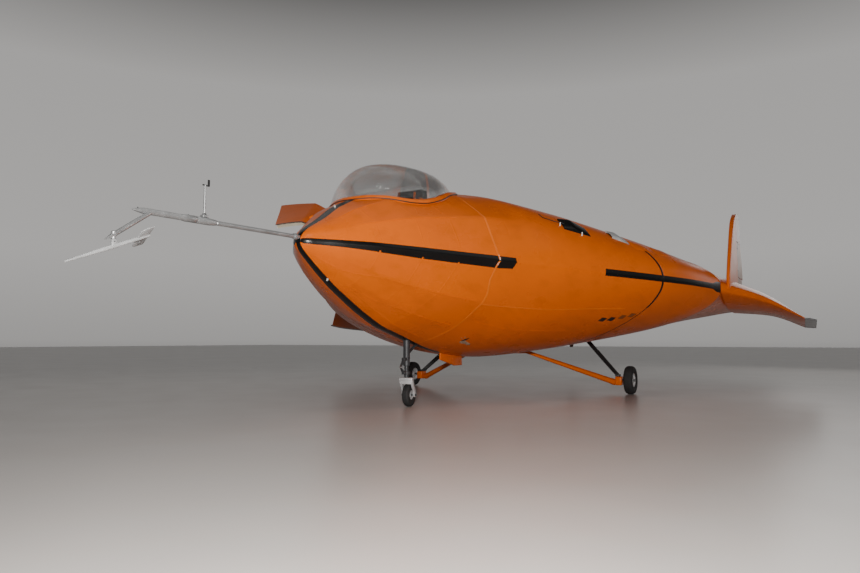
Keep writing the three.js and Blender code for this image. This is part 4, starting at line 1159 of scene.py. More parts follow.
def make_controls():
    _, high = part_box("instrument_panel")
    board_low, station = 1.430, 0.880
    parts = [cuboid("board", at(-0.2, station, board_low), at(0.2, station + 0.03, 1.72), "dark", 0.008)]
    parts.append(cuboid(
        "post", at(-0.06, station + 0.002, WELL_FLOOR), at(0.06, station + 0.026, 1.44), "dark", 0.004,
    ))
    columns, upper, lower = (-0.13, -0.045, 0.045, 0.13), 1.645, 1.545
    for x, z in [(x, upper) for x in columns] + [(x, lower) for x in columns[:3]]:
        face = at(x, station + 0.0295, z)
        ring = [(0.036, -0.004), (0.038, 0.002), (0.034, 0.005), (0.031, 0.001), (0, 0.001), (0, -0.004)]
        parts.append(turned_piece("bezel", ring, face - Vector((0, 0.006, 0)), (0, 1, 0), "dull_black", 40))
        parts.append(rod_at("dial", face, (0, -0.009, 0), (0, -0.004, 0), 0.030, "dial", steps=40))
    board = join("instrument_board", parts)
    for vertex in board.data.vertices:
        vertex.co.y = min(vertex.co.y, high[1])
    put(board, "airframe", "dark", "instrument_panel")
    base, top = at(0, 1.010, WELL_FLOOR), at(0, 1.030, 1.480)
    bend = base.lerp(top, 0.5) + Vector((0, 0.004, 0))
    stick = [
        rod("foot", base, base + Vector((0, 0, 0.026)), 0.034, "dark", 0.026, 40),
        wire("stick", [base + Vector((0, 0, 0.02)), bend, top], 0.012, "dark"),
        turned_piece("grip", GRIP, top, (0, 0.04, 1), "rubber", 32),
    ]
    put(join("stick", stick), "airframe", "dark", "control_stick")


# Wheels


def tyre_profile(radius, tube, hub):
    """Radius and half width points of a tyre with three grooves, once round the section."""
    bead, wide = hub + 0.0004, tube
    outline = [
        (bead, -0.74), (bead + 0.004, -0.80), (radius - tube * 0.95, -0.97), (radius - tube * 0.55, -1.0),
        (radius - tube * 0.32, -0.93), (radius - tube * 0.14, -0.74), (radius - tube * 0.05, -0.55),
        (radius - 0.0008, -0.44), (radius, -0.36), (radius, -0.30), (radius - 0.004, -0.29),
        (radius - 0.004, -0.23), (radius, -0.22), (radius, -0.05), (radius - 0.004, -0.04),
        (radius - 0.004, 0.04), (radius, 0.05),
    ]
    mirrored = [(r, -w) for r, w in reversed(outline[:-4])]
    return [(r, w * wide) for r, w in outline + mirrored] + [(bead, -0.74 * wide)]


def hub_profile(radius, wide, bore):
    outline = [
        (bore + 0.0006, -0.70), (bore + 0.015, -0.70), (bore + 0.019, -0.62), (bore + 0.022, -0.32),
        (radius - 0.018, -0.30), (radius - 0.010, -0.42), (radius - 0.006, -0.72), (radius - 0.002, -0.75),
        (radius, -0.73),
    ]
    mirrored = [(r, -w) for r, w in reversed(outline)]
    return [(r, w * wide) for r, w in outline + mirrored] + [(bore + 0.0006, -0.70 * wide)]


def make_wheel(name, centre, axis, radius, tube, hub, bore, body, hub_node, tyre_node, bolts):
    tyre = turned_piece(name + "_tyre_tread", tyre_profile(radius, tube, hub), centre, axis, "rubber", 96, 30)
    put(tyre, body, "rubber", tyre_node)
    parts = [turned_piece(name + "_rim", hub_profile(hub, tube, bore), centre, axis, "grey", 72, 30)]
    direction = Vector(axis).normalized()
    side = direction.orthogonal().normalized()
    ring = (bore + 0.022 + hub - 0.018) / 2
    for k in range(bolts):
        out = Quaternion(direction, 2 * math.pi * k / bolts) @ side * ring
        for way in (1, -1):
            foot = Vector(centre) + out + direction * way * tube * 0.30
            parts.append(rod("bolt", foot, foot + direction * way * 0.006, 0.0055, "dark", steps=6))
    put(join(name + "_wheel_hub", parts), body, "grey", hub_node)


# Nose gear: station of the leg, steering in degrees, trail and height of the axle, height of the crown
NOSE_GEAR = {"station": 1.600, "steer": 10.0, "trail": 0.065, "axle": 0.113, "crown": 0.284}
# Middle of a main wheel: X, station, height
MAIN_WHEEL = (1.540, 4.230, 0.168)


def make_wheels():
    turn, trail, high = math.radians(NOSE_GEAR["steer"]), NOSE_GEAR["trail"], NOSE_GEAR["axle"]
    nose_axis = (math.cos(turn), math.sin(turn), 0)
    nose_centre = at(-trail * math.sin(turn), NOSE_GEAR["station"] + trail * math.cos(turn), high)
    make_wheel(
        "nose", nose_centre, nose_axis, high, 0.036, 0.046, 0.009, "nose_wheel", "nose_hub", "nose_tyre", 5,
    )
    for side, word in SIDES:
        make_wheel(
            "main_" + word, at(side * MAIN_WHEEL[0], *MAIN_WHEEL[1:]), (1, 0, 0), MAIN_WHEEL[2], 0.054,
            0.082, 0.014, "main_wheel_" + word, "main_hub_" + word, "main_tyre_" + word, 6,
        )


# Boom and air data

# Boom: stations, heights and radii
BOOM = {
    "tip": -1.440, "tip_z": 1.418, "rear_radius": 0.016, "sleeve_rear": -0.835, "sleeve": 0.024,
    "front": 0.020, "root": 0.070, "root_z": 1.452,
}
# The collar at the nose: radius, distance along the boom
COLLAR = [
    (0.0163, 0), (0.023, 0.002), (0.025, 0.010), (0.025, 0.034), (0.022, 0.040), (0.0163, 0.042), (0.0163, 0),
]
MAST_STATION, MAST_HIGH = -0.905, 0.217
# Ends of the raked arm: X, station, height
ARM_ENDS = ((0, -1.310, 1.422), (0.100, -1.620, 1.232))
HEAD = {
    "drop": 23.0, "reach": 0.284, "tail": 0.240, "radius": 0.013, "seat": 0.027, "span": 0.092,
    "chord": 0.080, "roll": 30.0,
}


def on_boom(station):
    t = (station - BOOM["tip"]) / (BOOM["root"] - BOOM["tip"])
    return at(0, station, BOOM["tip_z"] + (BOOM["root_z"] - BOOM["tip_z"]) * t)


def make_boom():
    way = on_boom(BOOM["root"]) - on_boom(BOOM["tip"])
    start = on_boom(BOOM["sleeve_rear"] + 0.020)
    tube = [rod("tube", start, on_boom(BOOM["root"]), BOOM["rear_radius"], "silver", steps=48)]
    put(join("boom_pole", tube), "airframe", "silver", "boom_tube")
    collar = turned_piece("boom_collar", COLLAR, on_boom(-0.052), way, "silver", 48)
    put(collar, "airframe", "silver")
    long = BOOM["sleeve_rear"] - BOOM["tip"]
    front, rear = BOOM["front"], BOOM["sleeve"]
    profile = [
        (0, 0), (0.0035, 0.0), (0.0052, 0.004), (0.010, 0.022), (0.0142, 0.042), (0.0176, 0.064),
        (front, 0.090), (front, 0.346), (front + 0.001, 0.352), (rear - 0.001, 0.366), (rear, 0.372),
        (rear, 0.455), (rear - 0.0012, 0.457), (rear - 0.0012, 0.462), (rear, 0.464), (rear, long - 0.034),
        (rear - 0.001, long - 0.026), (0.0185, long + 0.018), (0.0163, long + 0.020),
        (0.0163, long + 0.018), (0, long + 0.018),
    ]
    parts = [turned_piece("sleeve", profile, on_boom(BOOM["tip"]), way, "silver", 56)]
    for station in (-1.405, -1.040, -0.880):
        foot = on_boom(station)
        radius = rear if station > -1.09 else 0.0150
        parts.append(rod_at(
            "screw", foot, (0, 0, radius - 0.003), (0, 0, radius + 0.0025), 0.004, "dark", steps=12,
        ))
    put(join("boom_front", parts), "airframe", "silver", "boom_sleeve")
    put(make_mast(), "airframe", "silver", "vane_mast")


def make_mast():
    foot = on_boom(MAST_STATION) + Vector((0, -0.008, BOOM["sleeve"] + 0.0003))
    top = foot + Vector((0, 0, MAST_HIGH))
    parts = [
        block_at("saddle", foot, (-0.016, -0.022, 0.0004), (0.016, 0.022, 0.016), "silver", 0.003),
        rod("mast", foot + Vector((0, 0, 0.008)), top, 0.009, "silver", 0.0072, 32),
        rod_at("nut", foot, (0, 0, 0.015), (0, 0, 0.026), 0.014, "dark", steps=6),
        block_at("arm", top, (-0.004, -0.020, -0.006), (0.004, 0.036, 0.002), "dull_black", 0.0012),
        block_at("flag", top, (-0.003, 0.022, -0.002), (0.003, 0.038, 0.040), "dull_black", 0.0012),
    ]
    return join("mast_and_vane", parts)


def make_air_data():
    root, end = (at(*point) for point in ARM_ENDS)
    clear = rod(
        "cutter", on_boom(BOOM["tip"] - 0.04), on_boom(BOOM["sleeve_rear"]), BOOM["front"] + 0.0003,
        "silver", steps=56,
    )
    arm = cut(rod("arm", root, end, 0.014, "silver", steps=48), [clear])
    parts = [
        arm,
        rod_at("post", end, (0, 0, -0.026), (0, 0, 0.020), 0.014, "silver", steps=40),
        rod("probe", end, end + Vector((0.018, -0.062, -0.036)), 0.014, "silver", 0.003, 40),
        rod_at("cap", end, (0, 0, 0.014), (0, 0, 0.0195), 0.009, "dark", steps=6),
    ]
    put(join("boom_branch", parts), "airframe", "silver", "boom_arm")
    pivot = end + Vector((0, 0, -0.026 - 0.0003 - HEAD["radius"] - HEAD["seat"]))
    aim = Vector((-0.05, -1, -math.tan(math.radians(HEAD["drop"])))).normalized()
    radius = HEAD["radius"]
    profile = [
        (0, -HEAD["tail"]), (0.007, -HEAD["tail"] + 0.001), (radius * 0.8, -HEAD["tail"] + 0.006),
        (radius, -0.010), (radius, 0.030), (0.0118, 0.080), (0.0100, 0.150), (0.0078, 0.215),
        (0.0058, 0.255), (0.0045, 0.276), (0.0030, 0.2825), (0, HEAD["reach"]),
    ]
    head = [turned_piece("head", profile, pivot, aim, "grey", 48)]
    head.append(block_at(
        "seat", pivot, (-0.012, -0.012, 0), (0.012, 0.012, radius + HEAD["seat"]), "grey", 0.002,
    ))
    head.append(rod_at("bolt", pivot, (-0.015, 0, 0.028), (0.015, 0, 0.028), 0.004, "dark", steps=12))
    side = (Vector((1, 0, 0)) - aim * aim.x).normalized()
    rise = side.cross(aim).normalized()
    roll = math.radians(HEAD["roll"])
    wide = (side * math.cos(roll) + rise * math.sin(roll)).normalized()
    if wide.z < 0:
        wide = (wide - rise * 2 * math.sin(roll)).normalized()
    thin = wide.cross(aim)
    centre = pivot + aim * (-HEAD["tail"] + HEAD["chord"] / 2 + 0.008)
    span, chord = HEAD["span"], HEAD["chord"] / 2
    outline = [
        (-span, -chord), (-span, chord * 0.35), (-span * 0.93, chord * 0.8), (-span * 0.8, chord),
        (span * 0.8, chord), (span * 0.93, chord * 0.8), (span, chord * 0.35), (span, -chord),
    ]
    rings = [[centre + wide * a + aim * b + thin * up for a, b in outline] for up in (-0.0025, 0.0025)]
    vane = bevelled(ring_piece("vane", rings, "grey"), 0.0012)
    head.append(vane)
    put(join("data_head", head), "airframe", "grey", "air_data_head")


# Undercarriage


def prism(name, outline, x_low, x_high, paint, bevel=0.0):
    """A plate across X; the outline is station and height."""
    rings = [[at(x, s, z) for s, z in outline] for x in (x_low, x_high)]
    piece = ring_piece(name, rings, paint)
    return bevelled(piece, bevel, 3) if bevel else soften(piece)


def make_nose_leg():
    station, crown, slim_from, leg_top = NOSE_GEAR["station"], NOSE_GEAR["crown"], 0.420, 0.655
    profile = [
        (0, 0.0005), (0.021, 0.0005), (0.023, 0.003), (0.023, 0.030), (0.035, 0.031), (0.037, 0.034),
        (0.037, 0.059), (0.035, 0.062), (0.0215, 0.063), (0.0215, 0.112), (0.030, 0.114), (0.033, 0.118),
        (0.033, 0.165), (0.0312, 0.167), (0.0312, 0.174), (0.033, 0.176), (0.033, leg_top + 0.02 - crown),
        (0, leg_top + 0.02 - crown),
    ]
    parts = [turned_piece("leg", profile, at(0, station, crown), (0, 0, 1), "dark", 56)]
    for low, high in ((crown + 0.032, crown + 0.060), (slim_from + 0.030, slim_from + 0.058)):
        near, far = at(-0.020, station - 0.062, low), at(0.020, station - 0.02, high)
        parts.append(cuboid("lug", near, far, "dark", 0.004))
    for x in (-0.009, 0.009):
        elbow = at(x * 0.6, station - 0.108, slim_from - 0.033)
        parts.append(rod("link", at(x, station - 0.052, crown + 0.046), elbow, 0.008, "dark", 0.006, 24))
        parts.append(rod("link", elbow, at(x, station - 0.052, slim_from + 0.044), 0.006, "dark", 0.008, 24))
    for s, z in ((-0.052, crown + 0.046), (-0.108, slim_from - 0.033), (-0.052, slim_from + 0.044)):
        parts.append(rod_at(
            "pin", at(0, station + s, z), (-0.019, 0, 0), (0.019, 0, 0), 0.0065, "silver", 16,
        ))
    low, high = at(0, station + 0.010, slim_from + 0.090), at(0, station + 0.330, leg_top + 0.040)
    parts.append(rod("brace", low, high, 0.014, "dark", steps=32))
    put(join("nose_strut", parts), "airframe", "dark", "nose_leg")


def make_fork():
    crown, wheel, trail = NOSE_GEAR["crown"], NOSE_GEAR["axle"], NOSE_GEAR["trail"]
    half, leg = 0.058, 0.022
    outline = [
        (-0.024, crown - 0.010), (-0.024, crown - 0.040), (0.000, crown - 0.085),
        (trail - 0.026, wheel + 0.035), (trail - 0.025, wheel + 0.004), (trail - 0.020, wheel - 0.014),
        (trail - 0.010, wheel - 0.0215), (trail + 0.008, wheel - 0.0215), (trail + 0.017, wheel - 0.014),
        (trail + 0.021, wheel + 0.004), (trail + 0.018, wheel + 0.030), (0.048, crown - 0.085),
        (0.030, crown - 0.050), (0.026, crown - 0.010),
    ]
    parts = []
    for side in (-1, 1):
        low, high = sorted((side * (half - leg / 2), side * (half + leg / 2)))
        rings = [[Vector((x, s, z)) for s, z in outline] for x in (low, high)]
        parts.append(bevelled(ring_piece("plate", rings, "grey"), 0.005, 3))
        foot = Vector((side * (half + leg / 2), trail, wheel))
        parts.append(rod("nut", foot, foot + Vector((side * 0.008, 0, 0)), 0.013, "dark", steps=6))
    parts.append(cuboid(
        "crown", (-half - 0.011, -0.028, crown - 0.030), (half + 0.011, 0.030, crown), "grey", 0.006,
    ))
    parts.append(rod("axle", (-half - 0.0195, trail, wheel), (half + 0.0195, trail, wheel), 0.009, "dark"))
    parts.append(cuboid(
        "brace", (-half - 0.004, -0.030, crown - 0.062), (half + 0.004, -0.018, crown - 0.028), "grey",
        0.003,
    ))
    fork = join("wheel_fork", parts)
    turn = Quaternion((0, 0, 1), math.radians(NOSE_GEAR["steer"]))
    for vertex in fork.data.vertices:
        vertex.co = at(0, NOSE_GEAR["station"], 0) + turn @ vertex.co
    put(fork, "steering_fork", "grey", "nose_fork")


def faired_rings(root, end, wide, thin, end_thin, steps=14, count=32):
    axis = (end - root).normalized()
    flow = (Vector((0, 1, 0)) - axis * axis.y).normalized()
    across = axis.cross(flow)
    rings = []
    for k in range(steps + 1):
        t = k / steps
        thick = thin + (end_thin - thin) * t
        middle = root.lerp(end, t)
        rings.append([middle + flow * (wide / 2 * c) + across * (thick / 2 * s) for c, s in circle(count)])
    return rings


def make_main_gear():
    for side, word in SIDES:
        def place(x, station, z):
            return at(side * x, station, z)

        knuckle, half_block = place(1.405, 4.252, 0.155), Vector((0.040, 0.068, 0.052))
        hub = MAIN_WHEEL[1:]
        axle = [
            cuboid("block", knuckle - half_block, knuckle + half_block, "orange", 0.012),
            rod("axle", place(1.405, *hub), place(1.602, *hub), 0.014, "dark", steps=40),
            rod("nut", place(1.588, *hub), place(1.6015, *hub), 0.020, "silver", steps=6),
        ]
        for dy in (-0.048, 0.048):
            for dz in (-0.034, 0.034):
                foot = knuckle + Vector((side * 0.038, dy, dz))
                axle.append(rod("bolt", foot, foot + Vector((side * 0.007, 0, 0)), 0.006, "silver", steps=6))
        put(join("knuckle_" + word, axle), "airframe", "dark", "axle_" + word)

        root, end = place(0.310, 3.762, 0.532), place(1.390, 4.293, 0.116)
        gap = 0.048
        stop = end.lerp(root, gap / (end - root).length)
        rings = faired_rings(root, stop, 0.084, 0.036, 0.072)
        strut = [loft_piece("strut", rings, "orange")]
        strut.append(block_at(
            "bracket", root, (-0.060, -0.110, -0.0459), (0.060, 0.110, 0.030), "orange", 0.005,
        ))
        cuff = faired_rings(stop.lerp(root, 0.05), stop.lerp(root, 0.012), 0.090, 0.074, 0.078, 4)
        strut.append(loft_piece("cuff", cuff, "orange"))
        put(join("leg_strut_" + word, strut), "airframe", "orange", "main_strut_" + word)

        end = place(1.382, 4.270, 0.205)
        shocks = [block_at("foot", end, (-0.024, -0.046, 0.0025), (0.024, 0.046, 0.026), "dark", 0.003)]
        for way in (-1, 1):
            low = end + Vector((0, way * 0.026, 0.014))
            high = place(0.850, 4.522 + way * 0.055, 0.745)
            shocks.append(rod("shock", low, low.lerp(high, 0.56), 0.0168, "dull_black", steps=32))
            shocks.append(rod("shock", low.lerp(high, 0.55), high, 0.0150, "dull_black", steps=32))
            for k in range(9):
                share = 0.10 + 0.048 * k
                near, far = low.lerp(high, share), low.lerp(high, share + 0.034)
                shocks.append(rod("cord", near, far, 0.0172, "dull_black", steps=32, bevel=0.003))
        put(join("shocks_" + word, shocks), "airframe", "dull_black", "shock_struts_" + word)


# Tail surfaces

# Foil: share of the chord, share of the half thickness
FOIL = [(0, 0.16), (0.04, 0.45), (0.13, 0.78), (0.28, 1.0), (0.5, 0.9), (0.72, 0.6), (0.88, 0.34), (1.0, 0.1)]
FINE_FOIL = smooth_rows([(math.sqrt(t), share) for t, share in FOIL], 4)
TAIL_LINE = HULL[-1, 2]


def foil_ring(x, lead, trail, lead_z, trail_z, half):
    upper = [(u * u, share) for u, share in FINE_FOIL]
    ring = []
    for rows, way in ((upper, 1), (upper[::-1], -1)):
        for t, share in rows:
            z = lead_z + (trail_z - lead_z) * t
            ring.append(at(x, lead + (trail - lead) * t, z + way * half * share))
    return ring


# Tip panel: distances out, stations and heights at the root and the tip, drop of its tip, rise of its middle
PANEL = {
    "start": 2.6103, "root": 2.610, "middle": 3.000, "tip": 3.393, "cap": 3.3933, "end": 3.515,
    "gap": 0.0003, "root_lead": 3.900, "root_trail": 6.600, "tip_lead": 4.700, "tip_trail": 6.100,
    "lead_z": 1.225, "trail_z": 1.140, "drop": 0.325, "bulge": 0.048,
}
# Half thickness at the root, the middle and the tip
PANEL_HALF = (0.180, 0.108, 0.026)
# Tip cap: share of its width, how far it draws in, half thickness
CAPS = [
    (0, 0.0, 0.026), (0.2, 0.006, 0.0262), (0.4, 0.018, 0.026), (0.6, 0.046, 0.0245), (0.8, 0.090, 0.022),
    (0.93, 0.150, 0.016), (1, 0.200, 0.010),
]


def panel_rows():
    """Distance out, leading and trailing station, their heights and the half thickness."""
    lead, trail = PANEL["root_lead"], PANEL["root_trail"]
    tip_lead, tip_trail = PANEL["tip_lead"], PANEL["tip_trail"]
    share = (PANEL["middle"] - PANEL["root"]) / (PANEL["tip"] - PANEL["root"])
    rise = PANEL["bulge"] - PANEL["drop"] * share
    return [
        (PANEL["start"], lead, trail, PANEL["lead_z"], TAIL_LINE, PANEL_HALF[0]),
        (
            PANEL["middle"], lead + (tip_lead - lead) * share, trail + (tip_trail - trail) * share,
            PANEL["lead_z"] + rise, TAIL_LINE + (PANEL["trail_z"] - TAIL_LINE) * share + rise,
            PANEL_HALF[1],
        ),
        (
            PANEL["tip"], tip_lead, tip_trail, PANEL["lead_z"] - PANEL["drop"],
            PANEL["trail_z"] - PANEL["drop"], PANEL_HALF[2],
        ),
    ]


def make_tips():
    reach = PANEL["end"] - PANEL["tip"] - PANEL["gap"]
    lead, trail = PANEL["tip_lead"], PANEL["tip_trail"]
    for side, word in SIDES:
        rings = [foil_ring(side * x, *row) for x, *row in smooth_rows(panel_rows(), 8)]
        panel = loft_piece("panel_" + word, rings, "orange", 40)
        put(panel, "airframe", "orange", "tip_panel_" + word)
        rings = []
        for share, inset, half in CAPS:
            drop = PANEL["drop"] + share * 0.014
            x = side * (PANEL["cap"] + reach * share)
            heights = PANEL["lead_z"] - drop, PANEL["trail_z"] - drop
            rings.append(foil_ring(x, lead + inset, trail - inset, *heights, half))
        put(loft_piece("cap_" + word, rings, "silver", 40), "airframe", "silver", "tip_cap_" + word)


# Fin outline: station, height
FIN_OUTLINE = [
    (3.960, 1.215), (3.962, 1.280), (3.985, 1.360), (4.120, 1.535), (4.360, 1.800), (4.480, 1.925),
    (4.600, 2.030), (4.720, 2.100), (4.850, 2.152), (4.970, 2.198), (5.080, 2.225), (5.160, 2.237),
    (5.230, 2.240), (5.295, 2.222), (5.340, 2.190), (5.380, 2.130), (5.410, 2.060), (5.435, 1.960),
    (5.450, 1.860), (5.496, 1.610), (5.540, 1.365), (5.540, 1.180),
]


def fin_ring(x, share):
    return [at(x, 4.850 + (s - 4.850) * share, z) for s, z in FIN_OUTLINE]


def paint_port_side_wear_and_light(piece):
    """Gives the faces that look to port the second paint, the pale one that paints the light on that side
    together with faded paint.
    """
    piece.data.update()
    for face in piece.data.polygons:
        face.material_index = 1 if face.normal.x > 0.3 else 0


def make_fins():
    x, half, hinge, low, high = 2.680, 0.023, 4.960, 1.425, 1.860
    for side, word in SIDES:
        rings = []
        for k in range(9):
            across = -1 + k / 4
            share = 0.94 + 0.06 * math.sqrt(1 - across * across)
            rings.append(fin_ring(side * x + half * across, share))
        fin = ring_piece("blade", rings, ["orange", "pale"])
        notch = cuboid(
            "cutter", at(side * x - 0.2, hinge - half - 0.008, low - 0.008),
            at(side * x + 0.2, 6.1, high + 0.008), "orange", 0.001,
        )
        fin = cut(fin, [notch])
        # The port faces get the pale paint: painted light on that side, with faded paint
        paint_port_side_wear_and_light(fin)
        fin.name = "fin_" + word + "_blade"
        put(fin, "airframe", "orange", "fin_" + word)
        pivot = at(side * x, hinge, 0)
        trail, taper, edge = 5.500, 0.100, 0.005
        radius = half * 0.9
        rings = []
        for k in range(9):
            t = k / 8
            z = low + (high - low) * t
            rear = trail - taper * t - hinge
            ring = []
            for i in range(17):
                turn = math.pi / 2 + math.pi * i / 16
                ring.append(pivot + Vector((radius * math.sin(turn), radius * math.cos(turn), z)))
            for share in (0.25, 0.5, 0.75, 1.0):
                ring.append(pivot + Vector((-radius + (radius - edge) * share, rear * share, z)))
            for share in (1.0, 0.75, 0.5, 0.25):
                ring.append(pivot + Vector((radius - (radius - edge) * share, rear * share, z)))
            rings.append(ring)
        blade = ring_piece("rudder", rings, ["orange", "pale"])
        # The port faces get the pale paint: painted light on that side, with faded paint
        paint_port_side_wear_and_light(blade)
        blade = soften(blade, 40)
        pins = [
            rod_at("pin", pivot, (0, 0, z - 0.022), (0, 0, z + 0.022), 0.007, "dark", steps=20)
            for z in (low, high)
        ]
        hinges = []
        for z in (low + 0.08, high - 0.08):
            hinges.append(block_at(
                "horn", pivot, (-radius - 0.0005, 0.01, z - 0.008), (radius + 0.0005, 0.05, z + 0.008),
                "dark", 0.001,
            ))
        piece = join("rudder_" + word + "_blade", [blade, *pins, *hinges])
        turn_about(piece, pivot, (0, 0, 1), -3.0)
        put(piece, "rudder_" + word[0], "orange", "rudder_" + word)


# Propeller

# Blade sections: radius, chord, thickness, pitch in degrees
BLADE = [
    (0.040, 0.078, 0.056, 62), (0.150, 0.104, 0.038, 48), (0.330, 0.126, 0.024, 33),
    (0.520, 0.122, 0.016, 24), (0.690, 0.098, 0.010, 18), (0.786, 0.064, 0.0068, 15.4),
    (0.800, 0.036, 0.004, 15),
]


def make_propeller():
    centre = at(0, 6.742, SHAFT_Z)
    parts = []
    for flip in (1, -1):
        rings = []
        for radius, chord, thick, pitch in smooth_rows(BLADE, 8):
            c, s = math.cos(math.radians(pitch)), math.sin(math.radians(pitch))
            ring = []
            for cosine, sine in circle(36):
                along, out = chord / 2 * cosine, thick / 2 * sine
                x, y = flip * (along * c - out * s), along * s + out * c + 0.039
                ring.append(centre + Vector((x, y, flip * radius)))
            rings.append(ring)
        parts.append(loft_piece("blade", rings, "wood", 45))
    bore = 0.0246
    profile = [
        (bore, 0), (0.071, 0), (0.074, 0.003), (0.074, 0.075), (0.071, 0.078), (bore, 0.078), (bore, 0),
    ]
    parts.append(turned_piece("hub", profile, centre, (0, 1, 0), "wood", 72))
    front, rear = centre - Vector((0, 0.06, 0)), centre + Vector((0, 0.2, 0))
    bored = [cut(blade, [rod("cutter", front, rear, bore, "wood", steps=48)]) for blade in parts[:2]]
    put(join("airscrew", [*bored, parts[2]]), "propeller_body", "wood", "propeller")
    base = centre + Vector((0, 0.0783, 0))
    profile = [
        (0, 0.022), (0.028, 0.022), (0.028, 0), (0.0725, 0), (0.074, 0.002), (0.0735, 0.010),
        (0.068, 0.026), (0.058, 0.041), (0.048, 0.052), (0.038, 0.0645), (0.027, 0.0735), (0.014, 0.0785),
        (0, 0.080),
    ]
    nut = [turned_piece("spinner", profile, base, (0, 1, 0), "silver", 64)]
    for k in range(6):
        out = Quaternion((0, 1, 0), math.pi / 3 * k) @ Vector((0.060, 0, 0))
        nut.append(rod_at("bolt", base + out, (0, 0.030, 0), (0, 0.040, 0), 0.005, "dark", steps=6))
    put(join("spinner_and_bolts", nut), "propeller_body", "silver", "propeller_spinner")


# Fittings on the skin

# Scoops: name, front and rear as X and station, half width, heights at the mouth, crown and tail, paint
SCOOPS = [
    ("side_scoop", (1.371, 2.232), (1.561, 2.467), 0.062, (0.025, 0.048, 0.003), "black"),
    ("edge_scoop", (1.697, 2.766), (1.832, 2.906), 0.066, (0.022, 0.034, 0.003), "grey"),
]
# Blisters: front and rear as X and station, half width, height
BLISTERS = [((1.880, 2.890), (2.010, 3.090), 0.060, 0.016), ((2.040, 3.160), (2.170, 3.400), 0.060, 0.014)]


def skin_frame(side, front, rear):
    """A function for points along, across and above a line on the upper skin, and the line's length."""
    dx, ds = rear[0] - front[0], rear[1] - front[1]
    length = math.hypot(dx, ds)
    dx, ds = dx / length, ds / length

    def point(forward, across, up):
        x = front[0] + dx * forward + ds * across
        station = front[1] + ds * forward - dx * across
        return at(side * x, station, hull_top(x, station) + up)

    return point, length


def scoop_shell(name, frame, length, half, heights, wall, first, last, paint):
    mouth, crown, tail = heights
    rings = []
    for k in range(15):
        share = first + (last - first) * k / 14
        if share < 0.4:
            rise = mouth + (crown - mouth) * max(0.0, share) / 0.4
        else:
            rise = crown + (tail - crown) * (share - 0.4) / 0.6
        top = max(0.0015, rise - wall)
        ring = []
        for i in range(21):
            turn = math.pi * i / 20
            c, s = math.cos(turn), math.sin(turn)
            across = -(half - wall) * math.copysign(abs(c) ** 0.45, c)
            ring.append(frame(length * share, across, top * abs(s) ** 0.45))
        ring.append(frame(length * share, half - wall, -0.012))
        ring.append(frame(length * share, -(half - wall), -0.012))
        rings.append(ring)
    return loft_piece(name, rings, paint, 40)


def make_scoops():
    for name, front, rear, half, heights, paint in SCOOPS:
        frame, length = skin_frame(1, front, rear)
        outer = scoop_shell("outer", frame, length, half, heights, 0.0, 0.0, 1.0, paint)
        inner = scoop_shell("cutter", frame, length, half, heights, 0.005, -0.1, 0.8, "dull_black")
        shell = cut(outer, [inner])
        shell.name = name + "_shell"
        put(shell, "airframe", paint, name)
        edge = half - 0.006
        # A dark sheet on the skin inside each scoop paints the shade in its mouth
        rows = [[frame(length * a, b, 0.0015) for b in (-edge, 0, edge)] for a in (0.02, 0.3, 0.6, 0.78)]
        floor = ring_piece(name + "_floor", rows, "dull_black", closed=False, caps=False)
        put(floor, "airframe", "dull_black")


def make_blisters():
    for number, (front, rear, half, high) in enumerate(BLISTERS):
        for side, word in SIDES:
            frame, length = skin_frame(side, front, rear)
            rings = []
            for k in range(17):
                share = k / 16
                tall = high * max(0.06, math.sin(math.pi * share) ** 0.45)
                ring = []
                for i in range(17):
                    turn = math.pi * i / 16
                    ring.append(frame(length * share, -half * math.cos(turn), tall * math.sin(turn)))
                ring.append(frame(length * share, half, -0.008))
                ring.append(frame(length * share, -half, -0.008))
                rings.append(ring)
            put(loft_piece(f"blister_{word}_{number}", rings, "orange", 40), "airframe", "orange")


def skin_strip(name, path, width, paint, rise=0.0014, sink=0.002):
    """A thin band laid along the skin; the path is station and turn in degrees, port side positive."""
    fine = []
    for (s0, t0), (s1, t1) in zip(path, path[1:]):
        reach = math.hypot(s1 - s0, math.radians(t1 - t0) * section((s0 + s1) / 2)[0])
        count = max(2, int(reach / 0.03))
        fine.extend((s0 + (s1 - s0) * i / count, t0 + (t1 - t0) * i / count) for i in range(count))
    fine.append(path[-1])
    rings = []
    for k, (station, degrees) in enumerate(fine):
        turn = math.radians(degrees)
        before, after = fine[max(0, k - 1)], fine[min(len(fine) - 1, k + 1)]
        point = skin_point(station, turn)
        way = skin_point(after[0], math.radians(after[1])) - skin_point(before[0], math.radians(before[1]))
        normal = skin_normal(station, turn)
        side = normal.cross(way.normalized()).normalized()
        rings.append([
            point - side * width / 2 - normal * sink, point - side * width / 2 + normal * rise * 0.3,
            point - side * width * 0.36 + normal * rise, point + side * width * 0.36 + normal * rise,
            point + side * width / 2 + normal * rise * 0.3, point + side * width / 2 - normal * sink,
        ])
    return loft_piece(name, rings, paint, 60)


